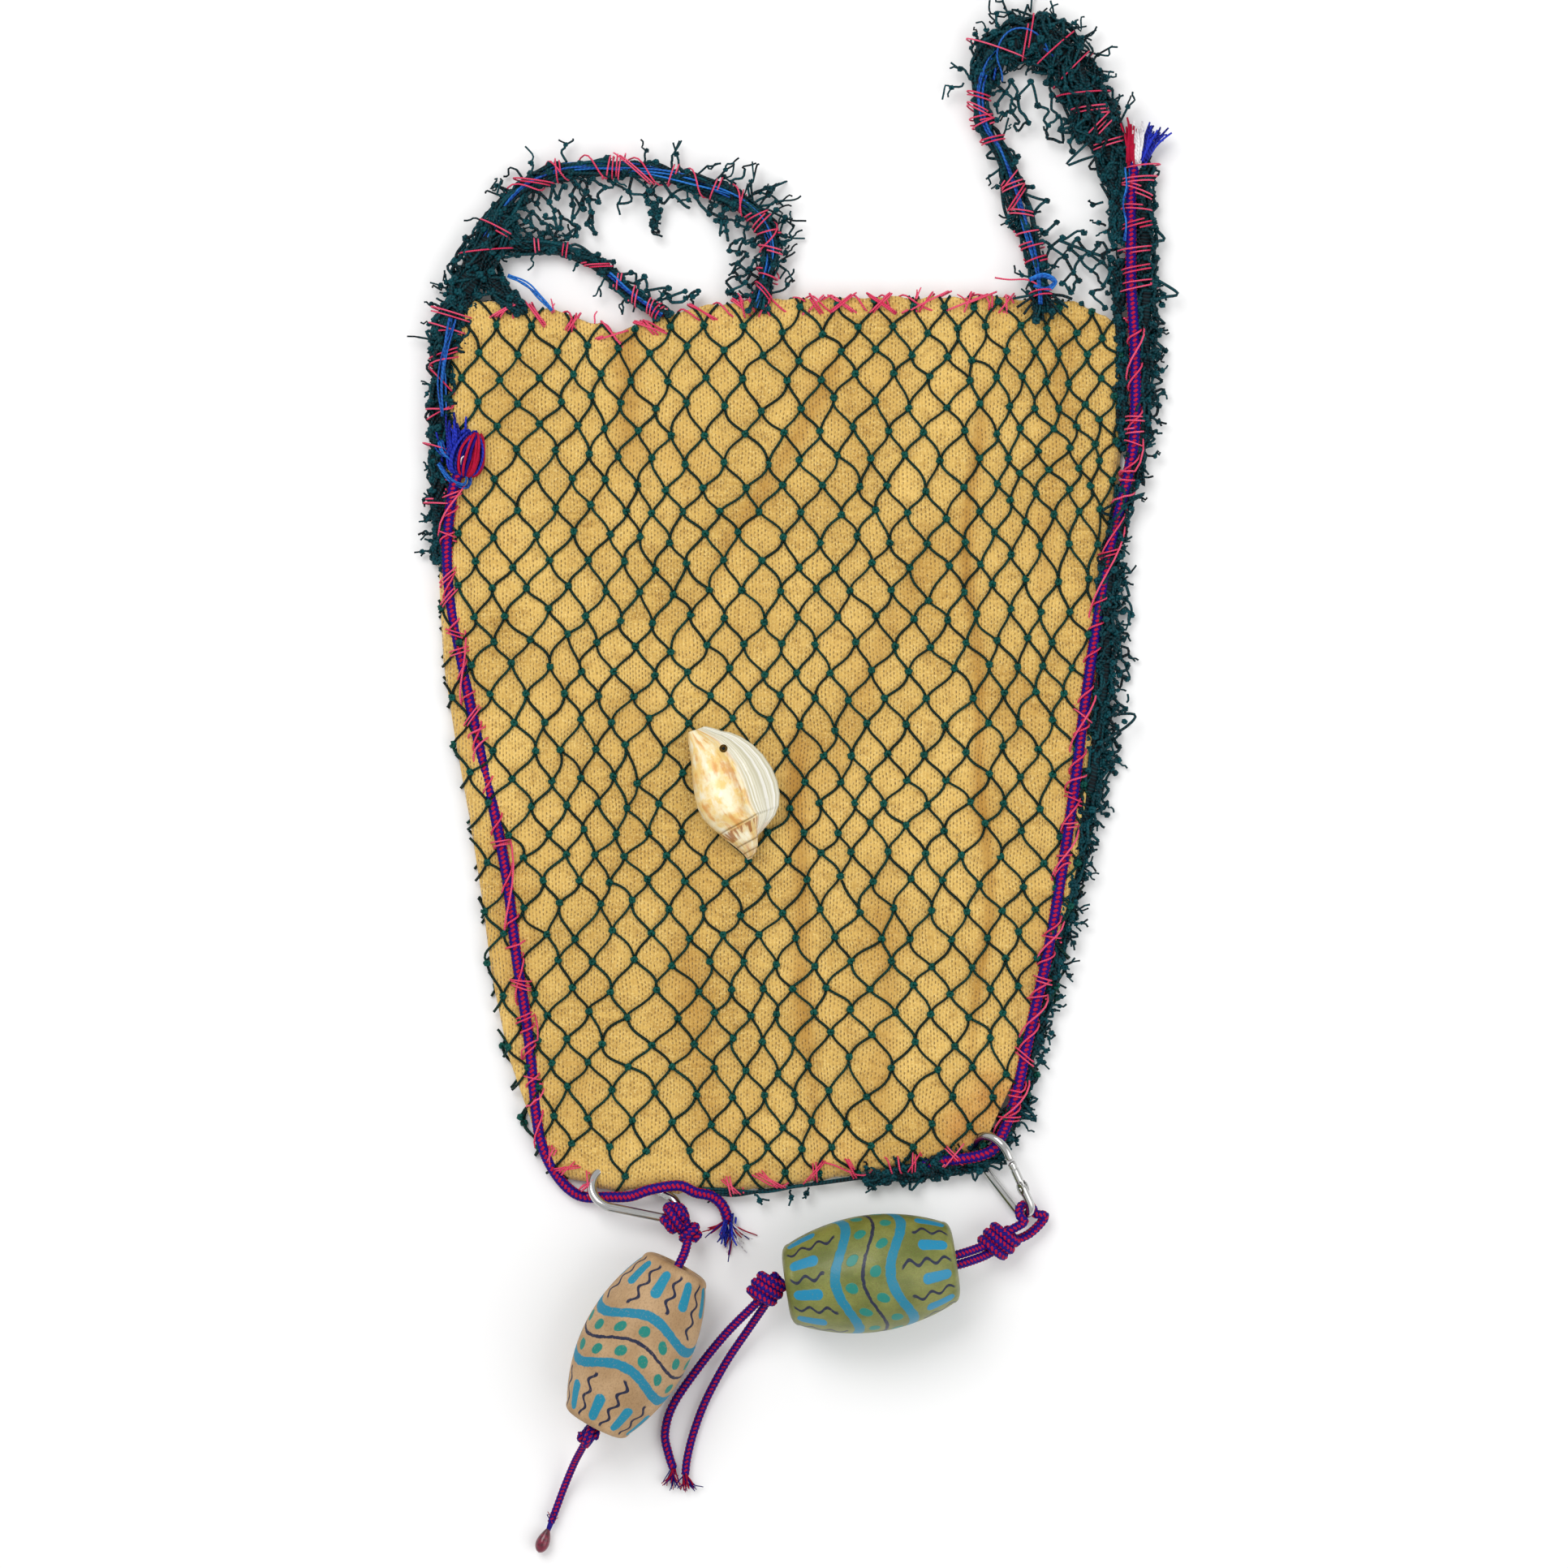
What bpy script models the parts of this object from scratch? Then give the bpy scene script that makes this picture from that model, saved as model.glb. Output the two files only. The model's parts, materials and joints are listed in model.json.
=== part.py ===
"""Net tote bag: knotted net over a knitted cloth pouch, with rope handles,
snap hooks and two bored fishing floats on braided lanyards.

Units are metres in Blender; lengths below are millimetres times MM.
The bag lies on its back: +Z comes out of its front, +Y points to the handles.
The origin is the middle of the back face, on the surface it rests on.
"""
import bpy
import bmesh
import math
from mathutils import Matrix, Vector

MM = 0.001
GAP = 0.3                      # clearance between neighbouring pieces

# Driving dimensions, in millimetres
SHEET_NET = 1.2                # thickness of one layer of net
SHEET_CLOTH = 0.8              # thickness of one layer of knitted cloth
POUCH_GAP = 5.5                # room between the two cloth panels
MOUTH_Y = 218.0                # mouth edge of the pouch
CORD_R = 2.5                   # braided cord
CORD_Z = 4.05                  # height of the side cords
LASH_R = 0.5                   # thin lashing thread
STITCH_R = 0.6
ROPE_R = 3.6                   # bundled net handle
ROPE_Z = 6.6
BLUE_STRAND_R = 1.2
ROLL_R = 5.0                   # net gathered along a side seam
BOTTOM_ROLL_R = 4.0
INNER_STRAND_R = 2.0
HINGE_Y = 222.0                # handles fold about the mouth edge
HANDLE_FOOT = 21.0             # the moving part starts this far past the hinge
WIRE_R = 2.25                  # snap hook wire
HOOK_BIG_R = 11.0
HOOK_SMALL_R = 6.0
HOOK_SPAN = 27.0               # between the centres of the hook's two ends
GATE_R = 2.1
GATE_BORE_R = 1.3              # room inside the gate for its spring
SPRING_R = 0.75
SPRING_WIRE_R = 0.2
SPRING_PITCH = 1.1
RIVET_R = 0.5
RIVET_HEAD_R = 1.1
RIVET_HEAD_H = 0.6
LANYARD_R = 2.2
FUNNEL_DEPTH = 14.0            # of the flared mouths of a float's bore
LEFT_FLOAT = dict(length=88.0, radius=27.0, end_radius=15.0, bore=4.2, funnel=9.5)
RIGHT_FLOAT = dict(length=84.0, radius=28.5, end_radius=18.0, bore=6.2, funnel=8.5)

NET_BACK_Z = 0.0
CLOTH_BACK_Z = NET_BACK_Z + SHEET_NET + GAP
CLOTH_FRONT_Z = CLOTH_BACK_Z + SHEET_CLOTH + POUCH_GAP
NET_FRONT_Z = CLOTH_FRONT_Z + SHEET_CLOTH + GAP
FRONT_TOP_Z = NET_FRONT_Z + SHEET_NET

LEFT_CORD = [(-161, 150), (-160, 130), (-165, 100), (-163, 80), (-160, 60), (-152, 20),
             (-148, 0), (-139, -40), (-132, -75), (-127, -120), (-122, -160), (-117, -195)]
LEFT_CORD_FOOT = [(-112, -205, 4), (-105, -215, 4), (-97, -219, 4), (-85, -219.5, 5.5),
                  (-73, -219, 7.5), (-64, -215.5, 10.5), (-50, -213.5, 10.8),
                  (-43, -217, 9), (-34, -220, 6), (-28, -228, 4), (-22, -240, 3.4)]
RIGHT_CORD = [(174, 214), (174, 200), (174, 160), (172, 140), (162, 100), (155, 60), (148, 20),
              (144, -20), (138, -60), (131, -100), (122, -140), (115, -172)]
RIGHT_CORD_FOOT = [(112, -182, 5.5), (108.5, -190, 8.5), (104, -196.5, 11), (97, -199, 11.2),
                   (89, -200.5, 9.5), (80, -202, 6), (70, -204, 4.5)]


# ---------------------------------------------------------------- scene set-up
def clear_scene():
    for old in list(bpy.data.objects):
        bpy.data.objects.remove(old, do_unlink=True)


def new_collection(name):
    collection = bpy.data.collections.new(name)
    bpy.context.scene.collection.children.link(collection)
    return collection


clear_scene()
PARTS = new_collection("net_tote_bag")
CUTTERS = new_collection("cutters")


def material(name, colour, roughness, metallic=0.0):
    made = bpy.data.materials.new(name)
    made.use_nodes = True
    shader = made.node_tree.nodes["Principled BSDF"]
    shader.inputs["Base Color"].default_value = (*colour, 1.0)
    shader.inputs["Roughness"].default_value = roughness
    shader.inputs["Metallic"].default_value = metallic
    return made


NET = dict(colour=(0.01, 0.10, 0.08), roughness=0.6)
CLOTH = dict(colour=(0.61, 0.35, 0.08), roughness=0.9)
BRAID = dict(colour=(0.30, 0.03, 0.20), roughness=0.65)
THREAD = dict(colour=(0.80, 0.09, 0.18), roughness=0.5)
BLUE = dict(colour=(0.04, 0.20, 0.60), roughness=0.5)
STEEL = dict(colour=(0.70, 0.70, 0.70), roughness=0.12, metallic=1.0)
SHELL = dict(colour=(0.80, 0.62, 0.40), roughness=0.35)
CLAY = dict(colour=(0.50, 0.28, 0.11), roughness=0.7)
OLIVE = dict(colour=(0.22, 0.22, 0.04), roughness=0.4)
MAROON = dict(colour=(0.16, 0.01, 0.02), roughness=0.3)


# ---------------------------------------------------------------- shared tools
def mm(point):
    return Vector(point) * MM


def smooth_path(points, step):
    """Catmull-Rom curve through the points, resampled about every step mm."""
    nodes = [Vector(p) for p in points]
    ends = [2 * nodes[0] - nodes[1]] + nodes + [2 * nodes[-1] - nodes[-2]]
    path = [nodes[0]]
    for i in range(1, len(ends) - 2):
        p0, p1, p2, p3 = ends[i - 1:i + 3]
        count = max(1, round((p2 - p1).length / step))
        for k in range(1, count + 1):
            t = k / count
            path.append(0.5 * ((2 * p1) + (p2 - p0) * t + (2 * p0 - 5 * p1 + 4 * p2 - p3) * t * t
                               + (3 * p1 - p0 - 3 * p2 + p3) * t ** 3))
    return path


def at_height(points, z):
    return [(x, y, z) for x, y in points]


def add(name, data, finish, collection=None):
    made = bpy.data.objects.new(name, data)
    (collection or PARTS).objects.link(made)
    data.materials.append(material(name, **finish))
    return made


def tube(name, path, radius, finish, sides=1, radii=None, collection=None):
    """Round bar along a path in mm, with flat filled ends."""
    curve = bpy.data.curves.new(name, "CURVE")
    curve.dimensions = "3D"
    curve.bevel_depth = radius * MM
    curve.bevel_resolution = sides
    curve.use_fill_caps = True
    spline = curve.splines.new("POLY")
    spline.points.add(len(path) - 1)
    for i, (point, spot) in enumerate(zip(spline.points, path)):
        point.co = (*mm(spot), 1.0)
        point.radius = radii[i] if radii else 1.0
    return add(name, curve, finish, collection)


def coil_path(path, radius, pitch, per_turn=6, lift=0.0):
    """Helix of a given radius round a centre path, raised by lift."""
    spots = [Vector(p) for p in path]
    lengths = [0.0]
    for a, b in zip(spots, spots[1:]):
        lengths.append(lengths[-1] + (b - a).length)
    count = max(2, round(lengths[-1] / pitch * per_turn))
    coil = []
    for k in range(count + 1):
        s = lengths[-1] * k / count
        i = max(j for j in range(len(lengths) - 1) if lengths[j] <= s + 1e-6)
        share = (s - lengths[i]) / (lengths[i + 1] - lengths[i])
        centre = spots[i].lerp(spots[i + 1], share)
        tangent = (spots[min(i + 2, len(spots) - 1)] - spots[max(i - 1, 0)]).normalized()
        side = tangent.cross(Vector((0, 0, 1))).normalized()
        up = side.cross(tangent)
        turn = 2 * math.pi * k / per_turn
        coil.append(centre + Vector((0, 0, lift))
                    + radius * (math.cos(turn) * side + math.sin(turn) * up))
    return coil


def to_mesh(source):
    """Turn a curve object into a closed mesh object of the same name."""
    bpy.context.view_layer.update()
    name = source.name
    evaluated = source.evaluated_get(bpy.context.evaluated_depsgraph_get())
    mesh = bpy.data.meshes.new_from_object(evaluated)
    work = bmesh.new()
    work.from_mesh(mesh)
    bmesh.ops.remove_doubles(work, verts=work.verts, dist=0.000001)
    work.to_mesh(mesh)
    work.free()
    made = bpy.data.objects.new(name + "_mesh", mesh)
    for holder in source.users_collection:
        holder.objects.link(made)
    made.matrix_world = source.matrix_world
    bpy.data.objects.remove(source, do_unlink=True)
    made.name = name
    return made


def primitive(name, shape, finish, collection=None):
    """Closed mesh object from a bmesh builder."""
    mesh = bpy.data.meshes.new(name)
    work = bmesh.new()
    shape(work)
    work.to_mesh(mesh)
    work.free()
    return add(name, mesh, finish, collection)


def ball(name, centre, size, finish, collection=None):
    made = primitive(name, lambda work: bmesh.ops.create_uvsphere(
        work, u_segments=12, v_segments=8, radius=1.0,
        matrix=Matrix.Diagonal((*(s * MM for s in size), 1.0))), finish, collection)
    made.location = mm(centre)
    return made


def combine(base, tool, operation):
    """Boolean of base with a tool kept in the cutters' collection."""
    tool.hide_render = True
    tool.display_type = "WIRE"
    step = base.modifiers.new(operation.lower(), "BOOLEAN")
    step.operation = operation
    step.object = tool


def pivot(name, spot):
    empty = bpy.data.objects.new(name, None)
    PARTS.objects.link(empty)
    empty.empty_display_size = 0.01
    empty.location = mm(spot)
    return empty


def attach(pieces, empty):
    """Parent pieces to an empty without moving them."""
    bpy.context.view_layer.update()
    for piece in pieces:
        piece.parent = empty
        piece.matrix_parent_inverse = empty.matrix_world.inverted()


# ---------------------------------------------------------------- bag body
SIDE_CLEAR = 5.5               # panel edge to side cord centre line


def panel_outline():
    left = [(x + SIDE_CLEAR, y) for x, y in LEFT_CORD]
    right = [(x - SIDE_CLEAR, y) for x, y in RIGHT_CORD]
    bottom = [(-97, -198), (-46, -199), (-38, -212), (20, -210), (55, -203), (74, -195), (88, -183)]
    mouth = [(150, MOUTH_Y), (100, MOUTH_Y), (0, MOUTH_Y), (-60, MOUTH_Y - 4), (-90, MOUTH_Y - 9),
             (-118, MOUTH_Y - 3), (-150, MOUTH_Y - 3), (-158, 205), (-158, 160)]
    return left[:-1] + [(-108, -190)] + bottom + right[::-1] + mouth


def panel(name, z, thickness, finish):
    """Flat sheet cut to the bag's outline, z is its underside."""
    curve = bpy.data.curves.new(name, "CURVE")
    curve.dimensions = "2D"
    curve.fill_mode = "BOTH"
    curve.extrude = thickness / 2 * MM
    spline = curve.splines.new("POLY")
    outline = panel_outline()
    spline.points.add(len(outline) - 1)
    for point, (x, y) in zip(spline.points, outline):
        point.co = (x * MM, y * MM, 0.0, 1.0)
    spline.use_cyclic_u = True
    sheet = add(name, curve, finish)
    sheet.location.z = (z + thickness / 2) * MM
    return sheet


def side_cord(name, run, foot):
    tube(name, smooth_path(at_height(run, CORD_Z) + foot, 8.0), CORD_R, BRAID)


def side_lashing(name, run):
    path = smooth_path(at_height(run[1:], CORD_Z), 8.0)
    coil = coil_path(path, CORD_R + 3 * GAP + LASH_R, 22.0)
    tube(name, coil, LASH_R, THREAD, sides=0)


def zigzag(x_start, x_end, pitch, middle, reach, z):
    """Stitches that step up and down by reach about the height middle(x)."""
    stitches = []
    for k in range(round((x_end - x_start) / pitch) + 1):
        x = x_start + pitch * k
        stitches.append((x, middle(x) + (-reach if k % 2 else reach), z))
    return stitches


def mouth_height(x):
    """Mouth edge of the pouch, which dips to the left of its middle."""
    return MOUTH_Y - 9.0 * math.exp(-((x + 90) / 30.0) ** 2)


def mouth_seam(x):
    return mouth_height(x) - 4.0


def bottom_seam(x):
    return -205.0 + 6.0 * (x + 30) / 90.0


def tapered(path, last):
    """Radius factors that shrink evenly from 1 towards last."""
    return [1.0 - (1.0 - last) * k / len(path) for k in range(len(path))]


def make_bag():
    panel("net_back", NET_BACK_Z, SHEET_NET, NET)
    panel("cloth_back", CLOTH_BACK_Z, SHEET_CLOTH, CLOTH)
    panel("cloth_front", CLOTH_FRONT_Z, SHEET_CLOTH, CLOTH)
    panel("net_front", NET_FRONT_Z, SHEET_NET, NET)
    side_cord("left_side_cord", LEFT_CORD, LEFT_CORD_FOOT)
    side_cord("right_side_cord", RIGHT_CORD, RIGHT_CORD_FOOT)
    side_lashing("left_side_lashing", LEFT_CORD)
    side_lashing("right_side_lashing", RIGHT_CORD)

    left_roll = smooth_path([(-161, 228, 6.6), (-165, 215, 6.6), (-171, 198, 6.2), (-172, 170, 6),
                             (-172.5, 140, 6), (-174, 118, 5)], 12.0)
    tube("left_net_roll", left_roll, ROLL_R, NET, radii=tapered(left_roll, 0.65))
    outside = [(x + 11.0, y) for x, y in RIGHT_CORD[:-1]] + [(121, -178)]
    right_roll = smooth_path(at_height(outside, 5.6), 16.0)
    tube("right_net_roll", right_roll, ROLL_R, NET, radii=tapered(right_roll, 0.7))
    bottom_roll = smooth_path([(57, -212.5, 4.5), (74, -211, 4.5), (86, -209, 4.5)], 10.0)
    tube("bottom_net_roll", bottom_roll, BOTTOM_ROLL_R, NET)

    thread_z = FRONT_TOP_Z + GAP + STITCH_R
    tube("mouth_stitching", zigzag(-140, 120, 10.0, mouth_seam, 2.5, thread_z),
         STITCH_R, THREAD, sides=0)
    tube("bottom_stitching", zigzag(-32, 50, 9.0, bottom_seam, 2.5, thread_z),
         STITCH_R, THREAD, sides=0)
    inner = smooth_path([(-128, 236, 4), (-118, 243, 4), (-104, 245, 4), (-92, 241, 4),
                         (-80, 232, 4), (-70, 226, 4), (-58, 222, 4)], 9.0)
    tube("left_inner_strand", inner, INNER_STRAND_R, NET)


# ---------------------------------------------------------------- handles
LEFT_ARCH = [(-141, HINGE_Y + HANDLE_FOOT), (-140, 254), (-134, 268), (-124, 278), (-110, 285),
             (-95, 287), (-75, 286), (-55, 283), (-35, 277), (-20, 270), (-11, 260),
             (-8, 250), (-9, HINGE_Y + HANDLE_FOOT)]
RIGHT_ARCH = [(122, HINGE_Y + HANDLE_FOOT), (121, 252), (119, 264), (115, 278), (109, 290),
              (103, 302), (101, 314), (101, 326), (104, 340), (112, 350), (122, 355), (134, 352),
              (145, 344), (151, 333), (156, 320), (160, 307), (162, 290), (161, 270),
              (160, HINGE_Y + HANDLE_FOOT)]


def handle(side, arch):
    """Net rope with a blue strand on top, both bound by one spiral lashing."""
    strand_lift = ROPE_R + GAP + BLUE_STRAND_R
    bound_r = (ROPE_R + strand_lift + BLUE_STRAND_R) / 2
    path = smooth_path(at_height(arch, ROPE_Z), 9.0)
    strand = [(x, y, z + strand_lift) for x, y, z in path]
    coil = coil_path(path, bound_r + 2 * GAP + LASH_R, 18.0, per_turn=8, lift=bound_r - ROPE_R)
    return [tube(side + "_handle_rope", path, ROPE_R, NET, sides=2),
            tube(side + "_handle_blue_strand", strand, BLUE_STRAND_R, BLUE),
            tube(side + "_handle_lashing", coil, LASH_R, THREAD, sides=0)]


def frayed_cord_end():
    """Free end of the right side cord, running up beside the right handle."""
    path = smooth_path([(174, HINGE_Y + HANDLE_FOOT, 5), (173, 255, 6), (172, 275, 6.5),
                        (175, 292, 6.5), (178, 306, 6.5)], 11.0)
    flare = [1.0] * (len(path) - 2) + [1.5, 2.1]
    return tube("right_cord_end", path, CORD_R, BRAID, radii=flare)


def make_handles():
    hinge = {"left": (-75, HINGE_Y, ROPE_Z), "right": (148, HINGE_Y, ROPE_Z)}
    attach(handle("left", LEFT_ARCH), pivot("left_handle", hinge["left"]))
    attach(handle("right", RIGHT_ARCH) + [frayed_cord_end()], pivot("right_handle", hinge["right"]))


# ---------------------------------------------------------------- shell
SHELL_HOLE = (-28, 1)
SHELL_HOLE_R = 2.0
SHELL_TIE_R = 1.1
SHELL_WIDEST_R = 19.0
SHELL_FLATTEN = 0.62


def shell_radius(t):
    """Radius along a conch, t from the canal end (0) to the spire tip (1)."""
    if t < 0.38:
        return 4.0 + (SHELL_WIDEST_R - 4.0) * math.sin(t / 0.38 * math.pi / 2)
    if t < 0.62:
        return SHELL_WIDEST_R - 6.0 * (t - 0.38) / 0.24
    spire = (t - 0.62) / 0.38
    step = 1.2 * math.cos(spire * 3 * 2 * math.pi)
    return 12.0 * (1 - spire) + 1.6 + step * (1 - spire)


def make_shell():
    rest_z = FRONT_TOP_Z + GAP
    top, tip = Vector((-38, 10, 0)), Vector((-15.5, -52, 0))
    count = 26
    path = [top.lerp(tip, k / count) for k in range(count + 1)]
    radii = [shell_radius(k / count) for k in range(count + 1)]
    body = to_mesh(tube("shell", path, 1.0, SHELL, sides=4, radii=radii))
    body.scale.z = SHELL_FLATTEN
    body.location.z = (rest_z + SHELL_WIDEST_R * SHELL_FLATTEN + GAP) * MM
    lip = ball("shell_lip", (-15, -20, rest_z + 8), (15, 26, 3.4), SHELL, CUTTERS)
    lip.rotation_euler = (0, math.radians(14), math.radians(18))
    combine(body, lip, "UNION")
    hole = primitive("shell_hole", lambda work: bmesh.ops.create_cone(
        work, cap_ends=True, segments=16, radius1=SHELL_HOLE_R * MM, radius2=SHELL_HOLE_R * MM,
        depth=80 * MM), SHELL, CUTTERS)
    hole.location = mm((*SHELL_HOLE, rest_z))
    combine(body, hole, "DIFFERENCE")
    tie_z = rest_z + 0.2
    tube("shell_tie", [(*SHELL_HOLE, tie_z + rise) for rise in (0, 8, 14)], SHELL_TIE_R, NET)
    attach([body], pivot("shell_pivot", (*SHELL_HOLE, rest_z)))


# ---------------------------------------------------------------- snap hooks
GATE_TILT = (HOOK_BIG_R - HOOK_SMALL_R) / HOOK_SPAN
PIVOT_U = 20.5                 # rivet, along the hook from the big end's centre
NOSE_U = 6.0
TANG_W = 1.6                   # flattened tang that carries the gate


def leg_v(u):
    """Distance of either straight side from the hook's middle line."""
    return HOOK_BIG_R - GATE_TILT * u


def leg_line(*stations):
    return [(u, leg_v(u), 0) for u in stations]


def hook_frame_matrix(centre, heading, tilt):
    """Hook axes: u along it, v across it towards the gate, w out of its plane."""
    a, t = math.radians(heading), math.radians(tilt)
    u = Vector((math.cos(a), math.sin(a), 0))
    v = Vector((-math.sin(a) * math.cos(t), math.cos(a) * math.cos(t), math.sin(t)))
    axes = Matrix((u, v, u.cross(v))).transposed()
    return Matrix.Translation(mm(centre)) @ axes.to_4x4()


def arc(centre_u, radius, start, end, steps):
    turn = [math.radians(start + (end - start) * k / steps) for k in range(steps + 1)]
    return [(centre_u + radius * math.cos(t), radius * math.sin(t), 0) for t in turn]


def box_cutter(name, low, high):
    size = [b - a for a, b in zip(low, high)]
    middle = [(a + b) / 2 for a, b in zip(low, high)]
    matrix = Matrix.Translation(mm(middle)) @ Matrix.Diagonal((*(s * MM for s in size), 1.0))
    return primitive(name, lambda work: bmesh.ops.create_cube(work, size=1.0, matrix=matrix),
                     STEEL, CUTTERS)


def hook(side, centre, heading, tilt):
    """Steel snap hook: bent wire frame, sprung gate, rivet and spring."""
    place = hook_frame_matrix(centre, heading, tilt)
    pivot_v = leg_v(PIVOT_U)
    bend = ([(NOSE_U, leg_v(NOSE_U), 0)] + arc(0, HOOK_BIG_R, 84, 276, 14)
            + arc(HOOK_SPAN, HOOK_SMALL_R, -84, 84, 10) + [(PIVOT_U - 2.0, leg_v(PIVOT_U - 2.0), 0)])
    frame = to_mesh(tube(side + "_hook_frame", bend, WIRE_R, STEEL, sides=2))
    for label, low_w in (("top", TANG_W / 2), ("under", -TANG_W / 2 - 3)):
        cheek = box_cutter(side + "_tang_" + label, (PIVOT_U - 3, pivot_v - 4, low_w),
                           (PIVOT_U + 3.2, pivot_v + 4, low_w + 3))
        combine(frame, cheek, "DIFFERENCE")
        cheek.matrix_world = place
    gate = to_mesh(tube(side + "_hook_gate", leg_line(NOSE_U + 0.4, PIVOT_U + 2.2), GATE_R, STEEL,
                        sides=4))
    slot = box_cutter(side + "_gate_slot", (PIVOT_U - 3.6, pivot_v - 4, -TANG_W / 2 - GAP),
                      (PIVOT_U + 3, pivot_v + 4, TANG_W / 2 + GAP))
    bore = to_mesh(tube(side + "_gate_bore", leg_line(8.6, PIVOT_U - 3), GATE_BORE_R, STEEL,
                        sides=4, collection=CUTTERS))
    holes = to_mesh(tube(side + "_rivet_hole", [(PIVOT_U, pivot_v, w) for w in (-4, 4)],
                         RIVET_R + GAP, STEEL, sides=4, collection=CUTTERS))
    for tool in (slot, bore, holes):
        combine(gate, tool, "DIFFERENCE")
    combine(frame, holes, "DIFFERENCE")
    head = RIVET_HEAD_R / RIVET_R
    shank_w = GATE_R + GAP
    step_w = shank_w + 0.05
    head_w = shank_w + RIVET_HEAD_H
    spots = [(PIVOT_U, pivot_v, w) for w in (-head_w, -step_w, -shank_w, shank_w, step_w, head_w)]
    rivet = tube(side + "_hook_rivet", spots, RIVET_R, STEEL, sides=2,
                 radii=[head, head, 1, 1, head, head])
    coil = coil_path(leg_line(9.1, 13.0, PIVOT_U - 4.0), SPRING_R, SPRING_PITCH)
    spring = tube(side + "_gate_spring", coil, SPRING_WIRE_R, STEEL, sides=0)
    for piece in (frame, gate, slot, bore, holes, rivet, spring):
        piece.matrix_world = place
    swing = pivot(side + "_hook", centre)
    hinge = pivot(side + "_gate", (0, 0, 0))
    hinge.matrix_world = place @ Matrix.Translation(mm((PIVOT_U, pivot_v, 0)))
    attach([frame, rivet], swing)
    attach([gate, spring], hinge)
    attach([hinge], swing)
    return place


# ---------------------------------------------------------------- floats and lanyards
def float_profile(length, radius, end_radius, bore, funnel):
    """Half section of a bored barrel as (distance from axis, height), outside first."""
    half = length / 2
    rim = end_radius - 2
    profile = [(funnel, half), (rim, half)]
    for k in range(15):
        z = 1 - k / 7
        bulge = end_radius + (radius - end_radius) * math.cos(math.pi / 2 * z) ** 0.75
        profile.append((bulge, half * z * 0.97))
    return profile + [(rim, -half), (funnel, -half), (bore, FUNNEL_DEPTH - half),
                      (bore, half - FUNNEL_DEPTH)]


def fishing_float(side, centre, heading, finish, size):
    """Turned barrel with a funnel-mouthed bore, lying with its axis level."""
    profile = float_profile(**size)
    mesh = bpy.data.meshes.new(side + "_float")
    mesh.from_pydata([(r * MM, 0.0, z * MM) for r, z in profile],
                     [(k, (k + 1) % len(profile)) for k in range(len(profile))], [])
    made = add(side + "_float", mesh, finish)
    turn = made.modifiers.new("turn", "SCREW")
    turn.steps = turn.render_steps = 18
    turn.use_merge_vertices = True
    turn.merge_threshold = 0.00001
    turn.use_smooth_shade = True
    made.rotation_euler = (0, math.radians(90), math.radians(heading))
    spin = pivot(side + "_float_axis", centre)
    made.location = mm(centre)
    attach([made], spin)


def lanyard(side, knot, knot_size, runs, eye):
    """Braided cord: one knot joining its loop through the hook and its run to the float."""
    body = ball(side + "_lanyard", knot, knot_size, BRAID)
    for k, run in enumerate(runs):
        strand = to_mesh(tube(f"{side}_lanyard_run_{k}", smooth_path(run, 5.0), LANYARD_R, BRAID,
                              collection=CUTTERS))
        combine(body, strand, "UNION")
    attach([body], pivot(side + "_lanyard_swing", eye))


def eye_loop(place):
    """Centre of the hook's small end, and a half turn of cord round its wire, in mm."""
    eye_u = HOOK_SPAN + HOOK_SMALL_R
    radius = WIRE_R + LANYARD_R + 2 * GAP
    turn = [math.radians(t) for t in (60, 100, 140, 180, 220, 260, 300)]
    return (place @ mm((eye_u, 0, 0)) / MM,
            [place @ mm((eye_u + radius * math.cos(t), 0, radius * math.sin(t))) / MM for t in turn])


def tail(name, knot, knot_size, run, radii):
    body = ball(name, knot, knot_size, BRAID)
    path = smooth_path([knot] + run, 9.0)
    shrink = [radii[0] + (radii[1] - radii[0]) * k / (len(path) - 1) for k in range(len(path))]
    strand = to_mesh(tube(name + "_run", path, 1.0, BRAID, radii=shrink, collection=CUTTERS))
    combine(body, strand, "UNION")
    return body


def make_left_charm():
    centre, heading, tilt = (-82, -214.5, 8.2), -21.0, -30.0
    place = hook("left", centre, heading, tilt)
    eye, bend = eye_loop(place)
    knot = (-44.5, -236.5, 12.5)
    loop = [knot] + bend + [(-44.5, -234, 5.5), knot]
    run = [knot, (-46.5, -244, 18), (-48.8, -249.5, 22), (-52.5, -256, 25.4), (-58, -266, 27),
           (-75, -298.6, 27), (-91.1, -329.1, 27)]
    lanyard("left", knot, (6.5, 6.5, 6.5), [loop, run], eye)
    fishing_float("left", (-70.5, -290, 27), math.degrees(math.atan2(-80, -42)), CLAY, LEFT_FLOAT)
    stop = (-93.8, -334.2, 27)
    cord = tail("left_tail", stop, (5, 5, 5),
                [(-97, -341, 21), (-101, -349, 12), (-106, -361, 5.5), (-110.5, -373, 4),
                 (-113.9, -382, 4)], (2.3, 1.5))
    drop = ball("left_tail_drop", (-116.6, -388.6, 4.2), (3.8, 6.2, 3.6), MAROON)
    drop.rotation_euler.z = math.radians(-22)
    attach([cord, drop], pivot("left_tail_swing", stop))


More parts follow.
